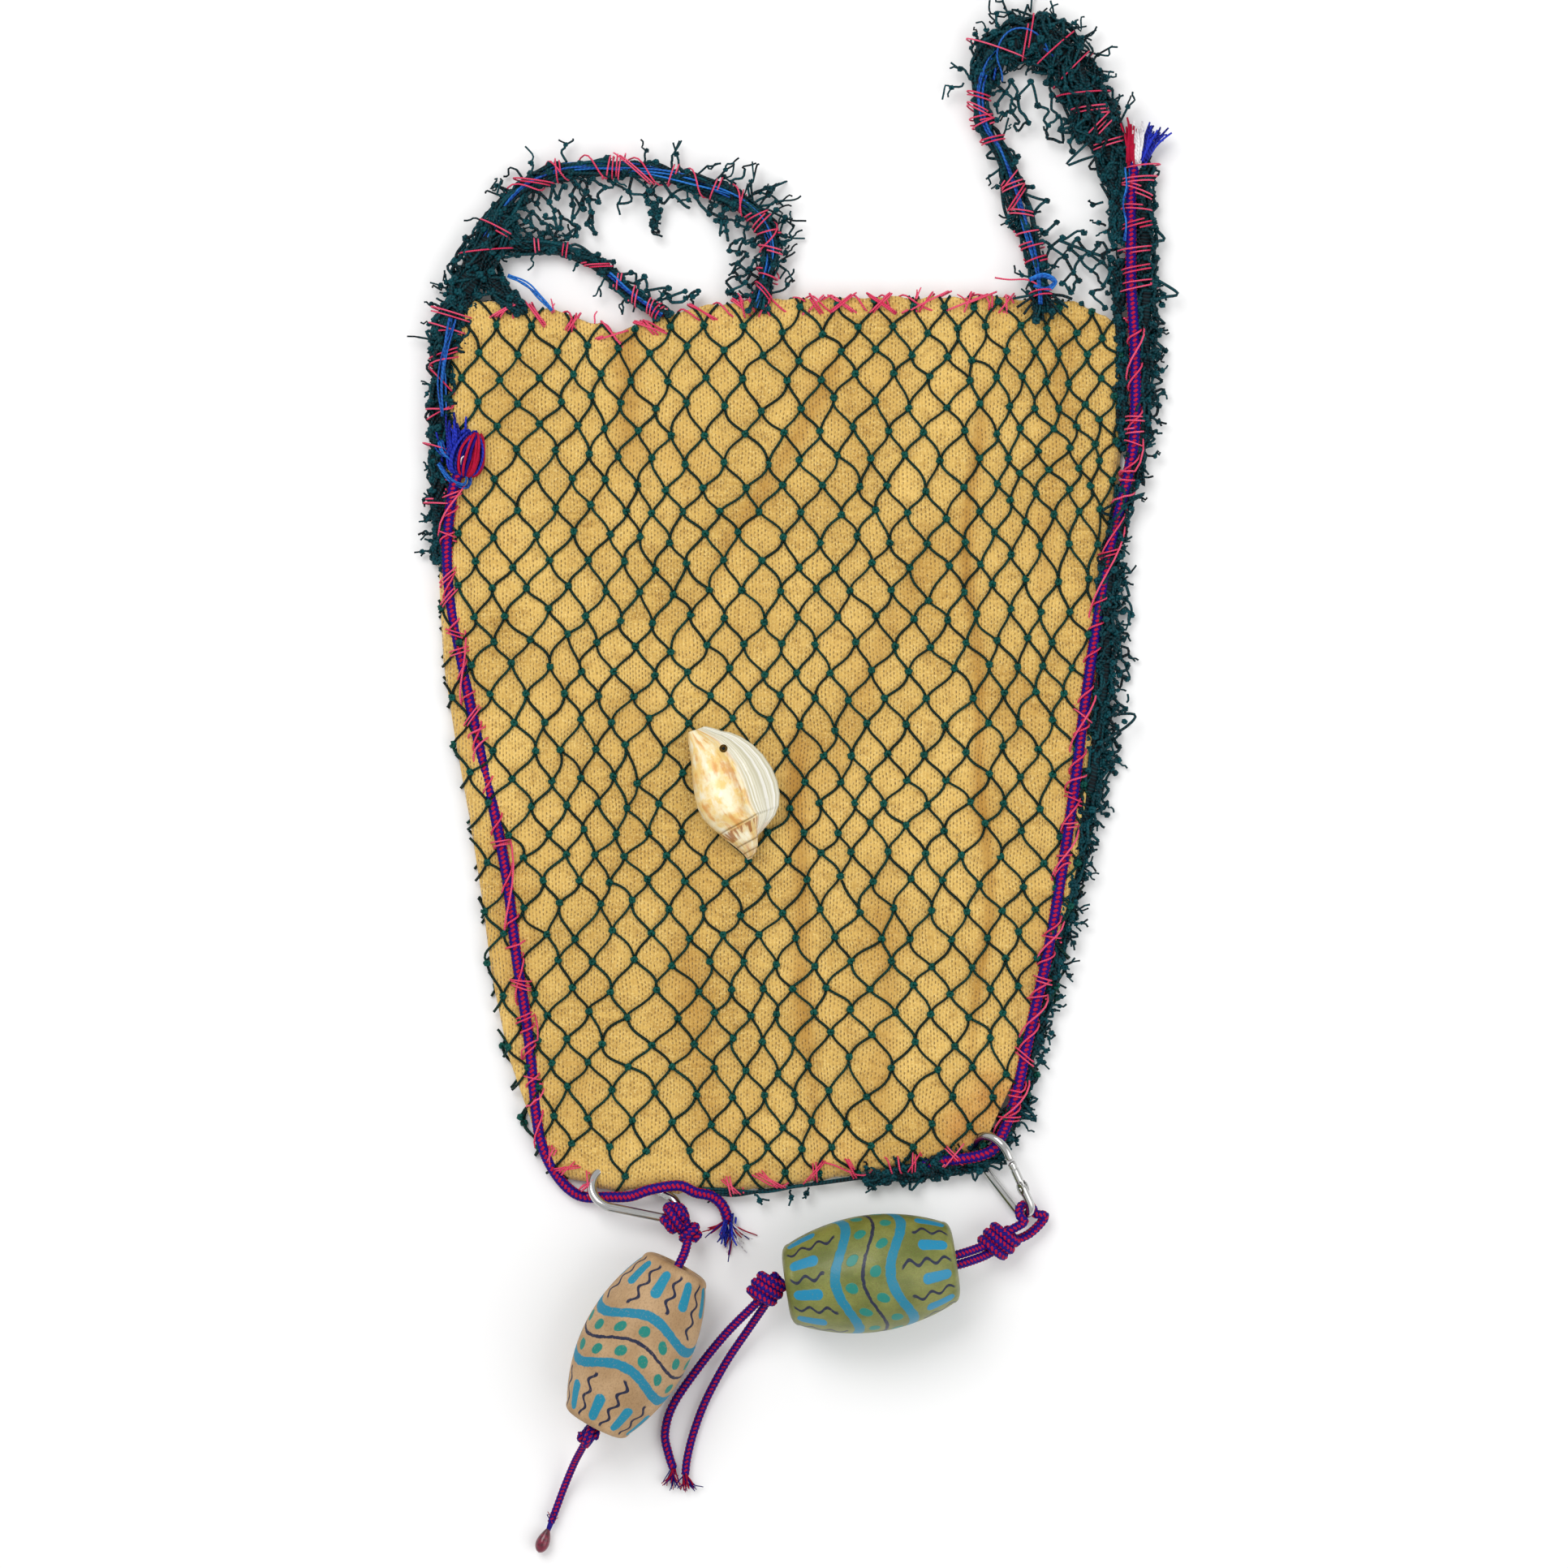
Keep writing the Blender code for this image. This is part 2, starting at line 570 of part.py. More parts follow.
def make_right_charm():
    centre, heading, tilt = (104, -199, 11.2), -59.0, 50.0
    place = hook("right", centre, heading, tilt)
    eye, bend = eye_loop(place)
    knot = (107, -241, 12)
    loop = [knot, (112, -235.5, 14.5)] + bend + [(130, -229, 6.5), (122, -237.5, 7.5), knot]
    side_step = Vector((0.143, -0.99, 0)) * (LANYARD_R + 0.2)
    line = [(98, -245.5, 18), (88, -248.2, 25), (79, -250, 28), (68, -251.5, 28.5), (4, -260.8, 28.5)]
    runs = [[knot] + [Vector(p) + side_step * s for p in line] for s in (-1, 1)]
    lanyard("right", knot, (8.5, 8.5, 7.5), [loop] + runs, eye)
    fishing_float("right", (44, -255, 28.5), math.degrees(math.atan2(0.143, 0.99)), OLIVE, RIGHT_FLOAT)
    stop = (-7, -262.6, 28.5)
    strand_a = tail("right_tail_strand_a", stop, (7, 7.5, 7),
                    [(-14, -272, 23), (-27, -286, 14), (-41, -304, 6), (-53, -322, 3.2),
                     (-57, -336, 2.8), (-55, -348, 2.8), (-52, -357, 2.8)], (2.2, 1.9))
    strand_b = tube("right_tail_strand_b", smooth_path(
        [(-8, -271.5, 22.5), (-16, -284, 13), (-27, -301, 6), (-37, -320, 3.2), (-43, -336, 2.8),
         (-46, -349, 2.8), (-46, -361, 2.8)], 9.0), 2.0, BRAID)
    attach([strand_a, strand_b], pivot("right_tail_swing", stop))


make_bag()
make_handles()
make_shell()
make_left_charm()
make_right_charm()
for part in PARTS.objects:
    if part.type == "MESH":
        part.data.shade_smooth()
        part.data.set_sharp_from_angle(angle=math.radians(40))
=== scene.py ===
import json
import math
import bpy
import numpy as np
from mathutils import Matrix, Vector


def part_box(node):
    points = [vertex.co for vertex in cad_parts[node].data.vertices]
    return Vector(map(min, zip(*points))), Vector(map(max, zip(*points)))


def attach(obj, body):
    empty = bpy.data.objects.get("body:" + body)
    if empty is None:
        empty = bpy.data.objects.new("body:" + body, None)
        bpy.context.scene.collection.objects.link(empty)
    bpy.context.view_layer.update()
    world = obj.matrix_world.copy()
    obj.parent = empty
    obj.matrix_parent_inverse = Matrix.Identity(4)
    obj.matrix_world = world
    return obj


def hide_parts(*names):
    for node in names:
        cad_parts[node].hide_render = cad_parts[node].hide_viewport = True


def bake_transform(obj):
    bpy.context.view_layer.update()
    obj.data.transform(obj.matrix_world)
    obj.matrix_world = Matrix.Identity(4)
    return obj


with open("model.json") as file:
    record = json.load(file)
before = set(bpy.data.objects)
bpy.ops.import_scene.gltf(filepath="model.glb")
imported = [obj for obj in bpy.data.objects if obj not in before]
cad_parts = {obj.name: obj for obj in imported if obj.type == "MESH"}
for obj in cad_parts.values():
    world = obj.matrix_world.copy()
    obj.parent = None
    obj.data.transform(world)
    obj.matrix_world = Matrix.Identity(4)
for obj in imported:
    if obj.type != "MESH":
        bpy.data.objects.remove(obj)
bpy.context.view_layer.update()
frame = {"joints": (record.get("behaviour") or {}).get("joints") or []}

# Lengths are millimetres in the row frame; meshes are built in metres.
MM = 0.001
JOINTS = {joint["name"]: joint for joint in frame["joints"]}
TAU = 2 * math.pi


def joint_spot(name):
    """Place of a joint in millimetres."""
    return np.array(JOINTS[name]["pos_m"]) / MM


def joint_axis(name):
    axis = np.array(JOINTS[name]["axis"], float)
    return axis / np.linalg.norm(axis)


def node_box(name):
    """Corners of a CAD node's box in millimetres."""
    low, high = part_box(name)
    return np.array(low) / MM, np.array(high) / MM


# ------------------------------------------------------------ paths and strands
def unit(vector):
    vector = np.asarray(vector, float)
    return vector / (np.linalg.norm(vector, axis=-1, keepdims=True) + 1e-12)


def smooth(points, step=2.0):
    """Catmull-Rom path through a few points, evenly resampled."""
    p = np.asarray(points, float)
    p = np.vstack([2 * p[0] - p[1], p, 2 * p[-1] - p[-2]])
    runs = []
    for i in range(1, len(p) - 2):
        count = max(3, int(np.linalg.norm(p[i + 1] - p[i]) / step) + 1)
        t = np.linspace(0, 1, count, endpoint=False)[:, None]
        a, b, c, d = p[i - 1], p[i], p[i + 1], p[i + 2]
        runs.append(0.5 * (2 * b + (c - a) * t + (2 * a - 5 * b + 4 * c - d) * t ** 2
                           + (3 * b - a - 3 * c + d) * t ** 3))
    return resample(np.vstack(runs + [p[-2:-1]]), step)


def lengths(path):
    return np.concatenate([[0], np.cumsum(np.linalg.norm(np.diff(path, axis=0), axis=1))])


def resample(path, step):
    s = lengths(path)
    count = max(2, int(round(s[-1] / step)) + 1)
    at = np.linspace(0, s[-1], count)
    return np.stack([np.interp(at, s, path[:, k]) for k in range(3)], axis=1)


def keep_above(points, low):
    """Lift the points that are lower than the given height over the table."""
    points[:, 2] = np.maximum(points[:, 2], low)


def frames(path):
    """Tangent, side and up vectors along a path, without twist."""
    tangent = unit(np.gradient(path, axis=0))
    side = np.empty_like(path)
    first = np.cross(tangent[0], (0.0, 0.0, 1.0))
    side[0] = unit(first if np.linalg.norm(first) > 0.1 else np.cross(tangent[0], (1.0, 0.0, 0.0)))
    for i in range(1, len(path)):
        side[i] = unit(side[i - 1] - np.dot(side[i - 1], tangent[i]) * tangent[i])
    return tangent, side, np.cross(tangent, side)


def wander(rng, count, size, knots):
    """Smooth random offsets with about the given number of swings."""
    knots = max(2, int(knots))
    values = rng.normal(0, size, knots + 3)
    at = np.linspace(0, knots, count)
    i = at.astype(int)
    t = at - i
    a, b, c, d = values[i - 1], values[i], values[i + 1], values[(i + 2) % len(values)]
    return 0.5 * (2 * b + (c - a) * t + (2 * a - 5 * b + 4 * c - d) * t ** 2
                  + (3 * b - a - 3 * c + d) * t ** 3)


class Strands:
    """Tubes and small lumps gathered into one mesh, with strand coordinates in its UV map."""

    def __init__(self):
        self.points, self.tints, self.faces, self.uvs = [], [], [], []
        self.count = 0

    def grid(self, verts, uv_u, uv_v, tint, closed_ends=True):
        """verts is rings x sides x 3; every ring is closed."""
        rings, sides = verts.shape[:2]
        index = self.count + np.arange(rings * sides).reshape(rings, sides)
        nxt = np.roll(index, -1, axis=1)
        quads = np.stack([index[:-1], nxt[:-1], nxt[1:], index[1:]], axis=-1).reshape(-1, 4)
        u0 = np.repeat(uv_u[:-1, None], sides, axis=1)
        u1 = np.repeat(uv_u[1:, None], sides, axis=1)
        v0 = np.repeat(uv_v[None, :-1], rings - 1, axis=0)
        v1 = np.repeat(uv_v[None, 1:], rings - 1, axis=0)
        uv = np.stack([np.stack([u0, v0], -1), np.stack([u0, v1], -1),
                       np.stack([u1, v1], -1), np.stack([u1, v0], -1)], axis=2).reshape(-1, 4, 2)
        self.faces.append(quads)
        self.uvs.append(uv)
        if closed_ends:
            for ring, u in ((index[0][::-1], uv_u[0]), (index[-1], uv_u[-1])):
                self.faces.append(ring[None, :])
                self.uvs.append(np.full((1, sides, 2), (u, 0.5)))
        self.points.append(verts.reshape(-1, 3))
        self.tints.append(np.full(rings * sides, tint))
        self.count += rings * sides

    def tube(self, path, radius, sides=5, tint=0.5, axes=None, thick=None):
        path = np.asarray(path, float)
        _, side, up = axes if axes else frames(path)
        radius = np.broadcast_to(np.asarray(radius, float), (len(path),))
        thick = radius if thick is None else np.broadcast_to(np.asarray(thick, float), (len(path),))
        angle = TAU * np.arange(sides) / sides
        ring = (radius[:, None, None] * np.cos(angle)[None, :, None] * side[:, None, :]
                + thick[:, None, None] * np.sin(angle)[None, :, None] * up[:, None, :])
        self.grid(path[:, None, :] + ring, lengths(path), np.linspace(0, 1, sides + 1), tint)

    def knot(self, centre, rng, size=1.0, tint=0.5):
        """Small net knot: two short wraps that cross."""
        for lean in (-1, 1):
            start = rng.uniform(0, TAU)
            angle = start + np.linspace(0, 0.85 * TAU, 6)
            flat = np.stack([1.15 * np.cos(angle), 0.8 * np.sin(angle), 0.35 * lean * np.cos(angle)], 1)
            spin = rng.uniform(-0.5, 0.5) + lean * 0.5
            c, s = math.cos(spin), math.sin(spin)
            turned = np.stack([c * flat[:, 0] - s * flat[:, 1], s * flat[:, 0] + c * flat[:, 1],
                               flat[:, 2] + 0.25 * lean], 1)
            self.tube(np.asarray(centre) + size * turned, 0.85 * size, sides=5, tint=tint)

    def build(self, name, finish):
        points = np.vstack(self.points) * MM
        mesh = bpy.data.meshes.new(name)
        totals = np.concatenate([np.full(len(f), f.shape[1]) for f in self.faces])
        corner = np.concatenate([f.ravel() for f in self.faces])
        mesh.vertices.add(len(points))
        mesh.vertices.foreach_set("co", points.ravel().astype(np.float32))
        mesh.loops.add(len(corner))
        mesh.loops.foreach_set("vertex_index", corner.astype(np.int32))
        mesh.polygons.add(len(totals))
        mesh.polygons.foreach_set("loop_start", (np.cumsum(totals) - totals).astype(np.int32))
        mesh.update(calc_edges=True)
        layer = mesh.uv_layers.new(name="strand")
        layer.data.foreach_set("uv", np.concatenate([u.reshape(-1, 2) for u in self.uvs])
                               .ravel().astype(np.float32))
        tint = mesh.attributes.new("tint", "FLOAT", "POINT")
        tint.data.foreach_set("value", np.concatenate(self.tints).astype(np.float32))
        mesh.validate()
        mesh.shade_smooth()
        return place(name, mesh, finish)


def place(name, mesh, finish):
    made = bpy.data.objects.new(name, mesh)
    bpy.context.scene.collection.objects.link(made)
    made.data.materials.append(finish)
    return made


def claim(nodes):
    """Hide the CAD nodes that the piece stands for."""
    if nodes:
        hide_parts(*nodes)


def seat(piece, body, *nodes):
    """A piece that rides one body."""
    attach(piece, body)
    claim(nodes)


def fold(piece, handle, *nodes):
    """A piece that lies between the bag and a handle at the mouth: its placement is baked into its mesh,
    it rides no body, and it hides the CAD nodes it stands for.
    """
    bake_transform(piece)
    claim(nodes)


# ------------------------------------------------------------ materials
def srgb(red, green, blue):
    """Linear colour from 0-255 display values."""
    def linear(c):
        c /= 255.0
        return c / 12.92 if c <= 0.04045 else ((c + 0.055) / 1.055) ** 2.4
    return (linear(red), linear(green), linear(blue), 1.0)


class Value:
    """Output of a shader node that works in plain arithmetic."""

    def __init__(self, finish, socket):
        self.math, self.socket = finish.math, socket

    def __add__(self, other):
        return self.math("ADD", self, other)

    def __sub__(self, other):
        return self.math("SUBTRACT", self, other)

    def __rsub__(self, other):
        return self.math("SUBTRACT", other, self)

    def __mul__(self, other):
        return self.math("MULTIPLY", self, other)

    def __truediv__(self, other):
        return self.math("DIVIDE", self, other)

    def __pow__(self, other):
        return self.math("POWER", self, other)

    def __gt__(self, other):
        return self.math("GREATER_THAN", self, other)

    def __abs__(self):
        return self.math("ABSOLUTE", self)

    def times_plus(self, factor, addend):
        return self.math("MULTIPLY_ADD", self, factor, addend)


class Finish:
    """A Principled material whose colour and bump are built from nodes."""

    def __init__(self, name, roughness=0.5, metallic=0.0):
        self.material = bpy.data.materials.new(name)
        self.material.use_nodes = True
        self.tree = self.material.node_tree
        self.shader = self.tree.nodes["Principled BSDF"]
        self.put(self.shader, "Roughness", roughness)
        self.put(self.shader, "Metallic", metallic)

    def put(self, node, socket, value):
        if isinstance(value, Value):
            self.tree.links.new(value.socket, node.inputs[socket])
        else:
            node.inputs[socket].default_value = value

    def node(self, kind, out=0, inputs=(), **settings):
        made = self.tree.nodes.new(kind)
        for key, value in settings.items():
            setattr(made, key, value)
        for key, value in dict(inputs).items():
            self.put(made, key, value)
        return Value(self, made.outputs[out])

    def math(self, operation, a, b=0.0, c=0.0):
        return self.node("ShaderNodeMath", operation=operation, inputs={0: a, 1: b, 2: c})

    def wave(self, value, turns=1.0):
        """Sine of value times turns full circles, from -1 to 1."""
        return self.math("SINE", value.times_plus(TAU * turns, 0.0))

    def cell(self, value):
        """Place within a unit cell, from -0.5 to 0.5."""
        return self.math("FRACT", value) - 0.5

    def hypot(self, a, b):
        return self.math("SQRT", a ** 2.0 + b ** 2.0)

    def band(self, value, low, high):
        """Smooth 0 to 1 step as value goes from low to high."""
        return self.node("ShaderNodeMapRange", interpolation_type="SMOOTHSTEP",
                         inputs={"Value": value, "From Min": low, "From Max": high})

    def clamped(self, value):
        return self.node("ShaderNodeClamp", inputs={0: value})

    def noise(self, vector, scale, detail=3.0, rough=0.55):
        return self.node("ShaderNodeTexNoise", inputs={"Vector": vector, "Scale": scale,
                                                       "Detail": detail, "Roughness": rough})

    def vector(self, *parts):
        return self.node("ShaderNodeCombineXYZ", inputs=enumerate(parts))

    def mix(self, share, first, second):
        return self.node("ShaderNodeMix", 2, {0: share, 6: first, 7: second}, data_type="RGBA")

    def layered(self, tone, *layers):
        """Lay colours over a tone, each with its share."""
        for share, colour in layers:
            tone = self.mix(share, tone, colour)
        return tone

    def position(self):
        """Place in the row frame in millimetres."""
        return self.node("ShaderNodeVectorMath", operation="SCALE",
                         inputs={0: self.node("ShaderNodeNewGeometry"), "Scale": 1 / MM})

    def split(self, vector):
        made = self.tree.nodes.new("ShaderNodeSeparateXYZ")
        self.put(made, 0, vector)
        return [Value(self, socket) for socket in made.outputs]

    def uv(self):
        """Millimetres along a strand, and turns around it."""
        return self.split(self.node("ShaderNodeUVMap", uv_map="strand"))[:2]

    def attribute(self, name):
        return self.node("ShaderNodeAttribute", out=2, attribute_name=name)

    def bump(self, height, distance):
        self.put(self.shader, "Normal", self.node("ShaderNodeBump", inputs={
            "Height": height, "Distance": distance * MM, "Strength": 1.0}))

    def done(self, colour, sheen=0.0, coat=0.0):
        self.put(self.shader, "Base Color", colour)
        self.put(self.shader, "Sheen Weight", sheen)
        self.put(self.shader, "Coat Weight", coat)
        return self.material


def strand_finish(name, dark, light, lay=1.6, roughness=0.55, contrast=1.0):
    """Twisted strand: slanting plies with painted shade in the grooves between them and painted highlight
    on their crests, with colour drift along it.
    """
    f = Finish(name, roughness)
    f.put(f.shader, "Specular IOR Level", 0.2)
    along, around = f.uv()
    tint = f.attribute("tint")
    # ply: painted shade in the grooves between plies and painted highlight on their crests; it also
    # drives the bump
    ply = f.wave(along / lay + around)
    drift = f.noise(f.vector(along, tint * 97), 0.11, 2)
    share = ply.times_plus(0.18, drift.times_plus(0.9 * contrast, tint.times_plus(0.7, -0.35)))
    f.bump(ply, 0.12)
    return f.done(f.mix(f.clamped(share), dark, light))


def braid_finish():
    """Braid carriers: red or blue-purple by strand, with fine fibre lines."""
    f = Finish("braided_cord", 0.5)
    f.put(f.shader, "Specular IOR Level", 0.1)
    along, around = f.uv()
    tint = f.attribute("tint")
    wear = f.noise(f.vector(along, around * 4, tint * 31), 0.7, 3)
    red = f.mix(wear, srgb(150, 6, 40), srgb(216, 30, 74))
    blue = f.mix(wear, srgb(12, 4, 84), srgb(46, 26, 150))
    f.bump(f.wave(around, 7), 0.08)
    return f.done(f.mix(tint > 0.5, blue, red))


RIB_WIDTH, ROW_HEIGHT = 1.7, 2.3     # knit stitches


def knit_finish():
    """Fine vertical rib knit with rows of pinholes, faint bands and stains, with painted shade in the
    creases, in the pinholes, between the ribs and in soft patches, and painted highlights on the threads.
    """
    f = Finish("knit_cloth", 0.92)
    spot = f.position()
    x, y, _ = f.split(spot)
    column = (x + (f.noise(spot, 0.03, 2) - 0.5) * 7.0) / RIB_WIDTH
    half = f.math("MODULO", f.math("FLOOR", column), 2.0) * 0.5
    across, down = f.cell(column), f.cell(y / ROW_HEIGHT + half)
    reach = across * across * 9.0 + down * down * 2.6
    hole = f.band(reach, 0.42, 0.06) * f.band(f.noise(spot, 0.35, 3), 0.34, 0.60)
    ridge = f.wave(column + 0.5)
    bands = f.noise(f.vector(x * 0.08, y), 0.5, 2)
    cloud = f.band(f.noise(spot, 0.018, 3), 0.32, 0.68)
    tone = f.layered(f.mix(cloud, srgb(198, 156, 74), srgb(240, 200, 112)),
                     (f.band(bands, 0.35, 0.7), srgb(226, 186, 98)),
                     # painted shade: soft darker patches that stand for shadow under the net's twines
                     (f.band(f.noise(spot, 0.16, 3), 0.50, 0.68) * 0.45, srgb(172, 128, 52)),
                     # painted highlight: bright specks on the knit's threads
                     (f.band(f.noise(spot, 1.1, 2), 0.50, 0.70) * 0.6, srgb(255, 226, 148)),
                     # painted shade along the cloth's creases
                     (f.attribute("crease_shade") * 0.85, srgb(182, 128, 42)),
                     (f.attribute("stain") * 0.5, srgb(190, 104, 30)),
                     # painted shade in the troughs between the ribs
                     (f.band(ridge, 0.2, -1.0) * 0.22, srgb(170, 118, 46)),
                     # painted shade in the pinholes
                     (hole * 0.75, srgb(112, 74, 24)))
    f.bump(ridge * 0.3 - hole, 0.35)
    return f.done(tone, sheen=0.3)


def steel_finish():
    """Polished wire with a faint haze along it."""
    f = Finish("polished_steel", metallic=1.0)
    along, around = f.uv()
    haze = f.noise(f.vector(along * 0.15, around * 40), 1.0, 4)
    f.put(f.shader, "Roughness", haze.times_plus(0.22, 0.06))
    f.bump(haze, 0.01)
    return f.done(f.mix(haze, srgb(150, 150, 150), srgb(235, 235, 232)))


def melt_finish():
    """Melted end of a cord: mottled, glossy and a little uneven."""
    f = Finish("melted_cord", 0.28)
    grain = f.noise(f.position(), 0.5, 4)
    f.bump(grain, 0.25)
    return f.done(f.mix(f.band(grain, 0.3, 0.7), srgb(60, 4, 26), srgb(128, 18, 52)), coat=0.4)


NET = strand_finish("net_twine", srgb(0, 20, 14), srgb(0, 96, 84), contrast=0.7)
BUNDLE = strand_finish("net_bundle", srgb(0, 6, 14), srgb(2, 78, 88), lay=1.8, contrast=1.0)
BRAID = braid_finish()
THREAD = strand_finish("lashing_thread", srgb(214, 24, 78), srgb(252, 104, 138), lay=1.1, roughness=0.45)
BLUE = strand_finish("blue_strand", srgb(4, 34, 128), srgb(44, 130, 218), lay=2.2, roughness=0.4)
ROYAL = strand_finish("royal_strand", srgb(6, 8, 96), srgb(44, 64, 214), lay=2.0)
WHITE = strand_finish("white_strand", srgb(200, 196, 200), srgb(250, 248, 250), lay=2.0)
KNIT = knit_finish()
STEEL = steel_finish()
MELT = melt_finish()


# ------------------------------------------------------------ bag outline and surface
FRONT_Z = node_box("net_front")[1][2]
BACK_Z = node_box("net_back")[1][2]
LEFT_EDGE = [(-217, -112), (-195, -122), (-160, -134), (-120, -142), (-80, -147), (-40, -153), (0, -160),
             (40, -166), (80, -168), (130, -167), (175, -166), (222, -161)]
RIGHT_EDGE = [(-217, 98), (-200, 108), (-180, 121), (-140, 130), (-100, 142), (-60, 150), (-20, 156),
              (40, 157), (100, 163), (160, 168), (200, 170), (222, 166)]
BOTTOM_EDGE = [(-125, -205), (-105, -210), (-85, -216), (-50, -217.5), (0, -215), (40, -208), (70, -203),
               (100, -197), (125, -180)]
MOUTH_EDGE = [(-170, 219), (-150, 221), (-110, 216), (-80, 206), (-60, 212), (-40, 218), (0, 222),
              (100, 223), (145, 221), (160, 213), (172, 202)]


def edge(table, at):
    t = np.array(table, float)
    return np.interp(at, t[:, 0], t[:, 1])


def ripple(x, y, size, seed):
    """Gentle random waves of about one unit, with a wavelength of about size."""
    rng = np.random.default_rng(seed)
    total = np.zeros(np.broadcast(x, y).shape)
    for _ in range(7):
        heading, phase = rng.uniform(0, TAU, 2)
        k = TAU / (size * rng.uniform(0.7, 1.5))
        total = total + np.sin(k * (x * math.cos(heading) + y * math.sin(heading)) + phase)
    return total / 2.6


def crease_lines(x, y):
    """Long upright fold lines of the cloth: depth from 0 to 1."""
    total = np.zeros(np.broadcast(x, y).shape)
    for x0, lean, low, high, width, deep in ((12, 0, -215, 30, 5.5, 1.0), (97, 0, -170, 190, 3.5, 1.0),
                                             (48, 0, -215, -60, 6.0,
                                              0.5), (-62, 0, -210, -120, 6.0, 0.35),
                                             (-78, 0, 120, 240, 7.5, 0.9), (135, 0, 40, 215, 5.0, 0.4),
                                             (-41, 0.5, 60, 225, 6.0, 0.8), (30, 0.3, -20, 120, 7.0, 0.5),
                                             (-30, -0.1, -215, -60, 7.0, 0.45)):
        centre = x0 + lean * (y - low) + 4.0 * np.sin(y / 47.0 + x0) + 2.0 * np.sin(y / 19.0 + 2 * x0)
        ends = np.clip((y - low) / 40.0, 0, 1) * np.clip((high - y) / 40.0, 0, 1)
        total = total + deep * ends * np.exp(-((x - centre) / width) ** 2)
    return np.clip(total, 0, 1)


def edge_distance(x, y):
    sides = np.minimum(x - edge(LEFT_EDGE, y), edge(RIGHT_EDGE, y) - x)
    return np.minimum(sides, y - edge(BOTTOM_EDGE, x))


def front_z(x, y):
    """Height of the front cloth's outer face."""
    near = np.clip(edge_distance(x, y) / 11.0, 0, 1)
    crown = np.sqrt(1 - (1 - near) ** 2)
    top = FRONT_Z - 2.2
    soft = 0.7 * ripple(x, y, 70.0, 5) + 0.35 * ripple(x, y, 26.0, 8) - 1.1 * crease_lines(x, y)
    return BACK_Z + 1.6 + (top - BACK_Z - 1.6) * crown + soft * (0.25 + 0.75 * near)


def cloth_sheet(name, height, thickness, stained):
    """One panel of the pouch as a thin closed sheet that follows a height function."""
    across, up = 150, 200
    s = np.linspace(0, 1, across + 1)
    t = np.linspace(0, 1, up + 1)
    rough_y = -217 + 439 * t[:, None]
    left, right = edge(LEFT_EDGE, rough_y), edge(RIGHT_EDGE, rough_y)
    x = left + (right - left) * s[None, :]
    y = edge(BOTTOM_EDGE, x) + (edge(MOUTH_EDGE, x) - edge(BOTTOM_EDGE, x)) * t[:, None]
    fray = 0.7 * ripple(x, y, 9.0, 21) * (t[:, None] ** 60 + (1 - t[:, None]) ** 60)
    y = y + fray
    z = height(x, y)
    outer = np.stack([x, y, z], -1)
    inner = np.stack([x, y, z - thickness], -1)
    work = Strands()
    rows, columns = x.shape
    index = np.arange(rows * columns).reshape(rows, columns)
    top = np.stack([index[:-1, :-1], index[:-1, 1:], index[1:, 1:], index[1:, :-1]], -1).reshape(-1, 4)
    shift = rows * columns
    rim = np.concatenate([index[0, :-1], index[:-1, -1], index[-1, :0:-1], index[:0:-1, 0]])
    nxt = np.roll(rim, -1)
    walls = np.stack([rim, rim + shift, nxt + shift, nxt], -1)
    work.points = [outer.reshape(-1, 3), inner.reshape(-1, 3)]
    work.faces = [top, top[:, ::-1] + shift, walls]
    work.uvs = [np.zeros((len(f), 4, 2)) for f in work.faces]
    work.tints = [np.full(2 * shift, 0.5)]
    made = work.build(name, KNIT)
    # painted shade: darker along the cloth's fold lines, with broad soft patches
    crease_shade = np.clip(crease_lines(x, y) * 0.8 + 0.16 * ripple(x, y, 60.0, 31), 0, 1)
    stain = np.zeros_like(x)
    for cx, cy, size, deep in ((105, -168, 9, 0.9), (88, -186, 8, 0.9), (97, -178, 14, 0.45),
                               (30, -200, 12, 0.3)):
        stain += deep * np.exp(-(((x - cx) / size) ** 2 + ((y - cy) / (1.3 * size)) ** 2))
    for label, values in (("crease_shade", crease_shade), ("stain", np.clip(stain, 0, 1) * stained)):
        layer = made.data.attributes.new(label, "FLOAT", "POINT")
        layer.data.foreach_set("value", np.tile(values.ravel(), 2).astype(np.float32))
    return made


def back_z(x, y):
    """Outer (upper) face of the back panel, which lies flat on its net."""
    return np.full_like(x, BACK_Z + 1.4)


def make_pouch():
    seat(cloth_sheet("pouch_front", front_z, 0.7, stained=True), "bag", "cloth_front")
    seat(cloth_sheet("pouch_back", back_z, 0.9, stained=False), "bag", "cloth_back")


# ------------------------------------------------------------ net panels
MESH_W, MESH_H = 18.2, 13.0      # knot spacing along a row, and between rows
TWINE_R = 0.72


def net_point(column, row, seed):
    """Place of a knot; the mesh narrows and stretches towards the upper corners."""
    y = MESH_H * row
    x = MESH_W * column
    high = 1 / (1 + np.exp(-(y - 40) / 35.0))
    right = np.clip(x - 88, 0, None)
    x = x - right * 0.27 * high
    left = np.clip(-x - 55, 0, 60)
    y = y + right * 0.16 * high * np.sin(y / 60.0) + 0.05 * left * high
    x = x + left * 0.12 * high
    wave_x = 2.2 * ripple(x, y, 90.0, seed) + 0.8 * ripple(x, y, 34.0, seed + 1)
    wave_y = 2.0 * ripple(x, y, 80.0, seed + 2) + 0.7 * ripple(x, y, 31.0, seed + 3)
    return x + wave_x, y + wave_y


def inside_bag(x, y, margin):
    return (edge_distance(x, y) > margin) & (y < edge(MOUTH_EDGE, x) - margin * 0.3)


